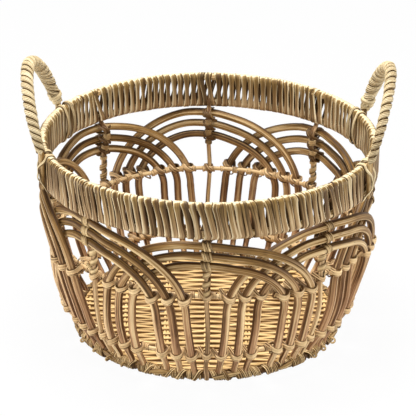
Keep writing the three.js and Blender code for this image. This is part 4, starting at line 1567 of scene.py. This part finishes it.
# The lamps and what they aim at: name, place, size, setting for the power, and share of it
LAMPS = (
    ("overhead", (-0.1, 0.15, 1.85), 0.8, "key", 1),
    ("left", (-2.6, -0.2, 0.2), 0.5, "side", 1),
    ("right", (2.6, -0.2, 0.2), 0.5, "side", 0.75),
    ("front", (0, -2.7, 1.0), 1.0, "front", 1),
)
LAMP_TARGET = (0, 0, 0.12)


def make_stage_floor(scene):
    """A level square that the basket stands on."""
    side = STAGE_HALF
    corners = [(-side, -side, 0), (side, -side, 0), (side, side, 0), (-side, side, 0)]
    mesh = bpy.data.meshes.new("studio_floor")
    mesh.from_pydata(corners, [], [(0, 1, 2, 3)])
    mesh.materials.append(stage_material("studio_floor", STAGE_TINT, STAGE_SHOWN))
    ground = bpy.data.objects.new("studio_floor", mesh)
    ground.location.z = STAGE_LEVEL
    scene.collection.objects.link(ground)


def light_stage(scene):
    """A world that is white where it is seen and dim elsewhere, and the lamps."""
    settings = scene.basket_stage
    world = bpy.data.worlds.new("studio")
    world.use_nodes = True
    scene.world = world
    finish = Finish(world.node_tree)
    strength = finish.seen() * (1 - settings.fill) + settings.fill
    sky = finish.node("ShaderNodeBackground", None, {"Color": (1, 1, 1, 1), "Strength": strength})
    finish.node("ShaderNodeOutputWorld", None, {"Surface": sky})
    for name, place, size, setting, share in LAMPS:
        lamp = bpy.data.lights.new(name, "AREA")
        lamp.size = size
        lamp.energy = getattr(settings, setting) * share
        holder = bpy.data.objects.new(name, lamp)
        holder.location = place
        aim = Vector(LAMP_TARGET) - Vector(place)
        holder.rotation_euler = aim.to_track_quat("-Z", "Y").to_euler()
        scene.collection.objects.link(holder)


def make_stage(scene):
    """The stage's floor and light, and the camera, which looks down from the front."""
    make_stage_floor(scene)
    light_stage(scene)
    settings = scene.basket_stage
    camera = bpy.data.cameras.new("camera")
    camera.lens = settings.lens
    camera.sensor_width = 36
    camera.clip_end = 20
    holder = bpy.data.objects.new("camera", camera)
    down = math.radians(settings.elevation)
    target = Vector((0, 0, settings.target))
    away = Vector((0, -math.cos(down), math.sin(down))) * settings.distance
    tilt = Matrix.Rotation(math.radians(90 - settings.elevation + settings.tilt), 4, "X")
    roll = Matrix.Rotation(math.radians(settings.roll), 4, "Z")
    holder.matrix_world = Matrix.Translation(target + away) @ tilt @ roll
    scene.collection.objects.link(holder)
    scene.camera = holder
    scene.view_settings.view_transform = "Standard"


class BasketOperator:
    """What every operator here shares: it runs its own make method with the finishes."""

    bl_options = {"REGISTER", "UNDO"}

    def execute(self, context):
        self.make(context.scene, finishes(context.scene))
        return {"FINISHED"}


class BASKET_OT_rods(BasketOperator, Operator):
    """Bends the wall's rods into arches that cross over and under each other"""

    bl_idname = "basket.rods"
    bl_label = "Wall rods"

    def make(self, scene, surface):
        make_rods(scene, surface["rod"])


class BASKET_OT_stakes(BasketOperator, Operator):
    """Sets the stakes behind the crowns and winds cane down some of them"""

    bl_idname = "basket.stakes"
    bl_label = "Stakes"

    def make(self, scene, surface):
        make_stakes(scene, surface["stake"])
        make_wound_stakes(scene, surface["lashing"])


class BASKET_OT_crown_lashings(BasketOperator, Operator):
    """Binds the crowns to their stakes"""

    bl_idname = "basket.crown_lashings"
    bl_label = "Crown lashings"

    def make(self, scene, surface):
        make_crown_lashings(scene, surface["lashing"])


class BASKET_OT_rim(BasketOperator, Operator):
    """Makes both hoops and winds the rim's cane round them"""

    bl_idname = "basket.rim"
    bl_label = "Rim"

    def make(self, scene, surface):
        make_hoops(scene, surface["rod"])
        make_rim_winding(scene, surface["cane"])


class BASKET_OT_rings(BasketOperator, Operator):
    """Bends the binding rings and ties them to every leg"""

    bl_idname = "basket.rings"
    bl_label = "Rings and ties"

    def make(self, scene, surface):
        make_rings(scene, surface["ring"])


class BASKET_OT_handles(BasketOperator, Operator):
    """Bends the handles, winds them and lashes their feet to the rim"""

    bl_idname = "basket.handles"
    bl_label = "Handles"

    def make(self, scene, surface):
        make_handles(scene, surface["rod"], surface["handle"])
        make_handle_lashings(scene, surface["handle"])


class BASKET_OT_foot(BasketOperator, Operator):
    """Rolls the foot border and weaves the floor"""

    bl_idname = "basket.foot"
    bl_label = "Foot and floor"

    def make(self, scene, surface):
        make_foot(scene, surface["foot"])
        make_floor(scene, surface["floor"])


class BASKET_OT_stage(Operator):
    """Sets the floor, the light and the camera"""

    bl_idname = "basket.stage"
    bl_label = "Stage"

    def execute(self, context):
        make_stage(context.scene)
        return {"FINISHED"}


STEPS = (
    BASKET_OT_stage,
    BASKET_OT_rods,
    BASKET_OT_stakes,
    BASKET_OT_crown_lashings,
    BASKET_OT_rim,
    BASKET_OT_rings,
    BASKET_OT_handles,
    BASKET_OT_foot,
)


class BASKET_PT_parts(Panel):
    """Lists the steps that make the basket"""

    bl_idname = "BASKET_PT_parts"
    bl_label = "Basket"
    bl_space_type = "VIEW_3D"
    bl_region_type = "UI"
    bl_category = "Basket"

    def draw(self, context):
        for step in STEPS:
            self.layout.operator(step.bl_idname)
        for name in SETTINGS:
            box = self.layout.box()
            group = getattr(context.scene, name)
            for prop in group.bl_rna.properties.keys():
                if prop not in ("rna_type", "name"):
                    box.prop(group, prop)


SETTINGS = {
    "basket_rim": RimSizes,
    "basket_wall": WallSizes,
    "basket_rings": RingSizes,
    "basket_handles": HandleSizes,
    "basket_foot": FootSizes,
    "basket_finishes": Finishes,
    "basket_stage": StageSettings,
}

CLASSES = (*SETTINGS.values(), *STEPS, BASKET_PT_parts)


def register():
    for cls in CLASSES:
        bpy.utils.register_class(cls)
    for name, group in SETTINGS.items():
        setattr(bpy.types.Scene, name, PointerProperty(type=group))


def unregister():
    for name in SETTINGS:
        delattr(bpy.types.Scene, name)
    for cls in reversed(CLASSES):
        bpy.utils.unregister_class(cls)


def main():
    register()
    for step in STEPS:
        package, name = step.bl_idname.split(".")
        getattr(getattr(bpy.ops, package), name)()


if __name__ == "__main__":
    main()
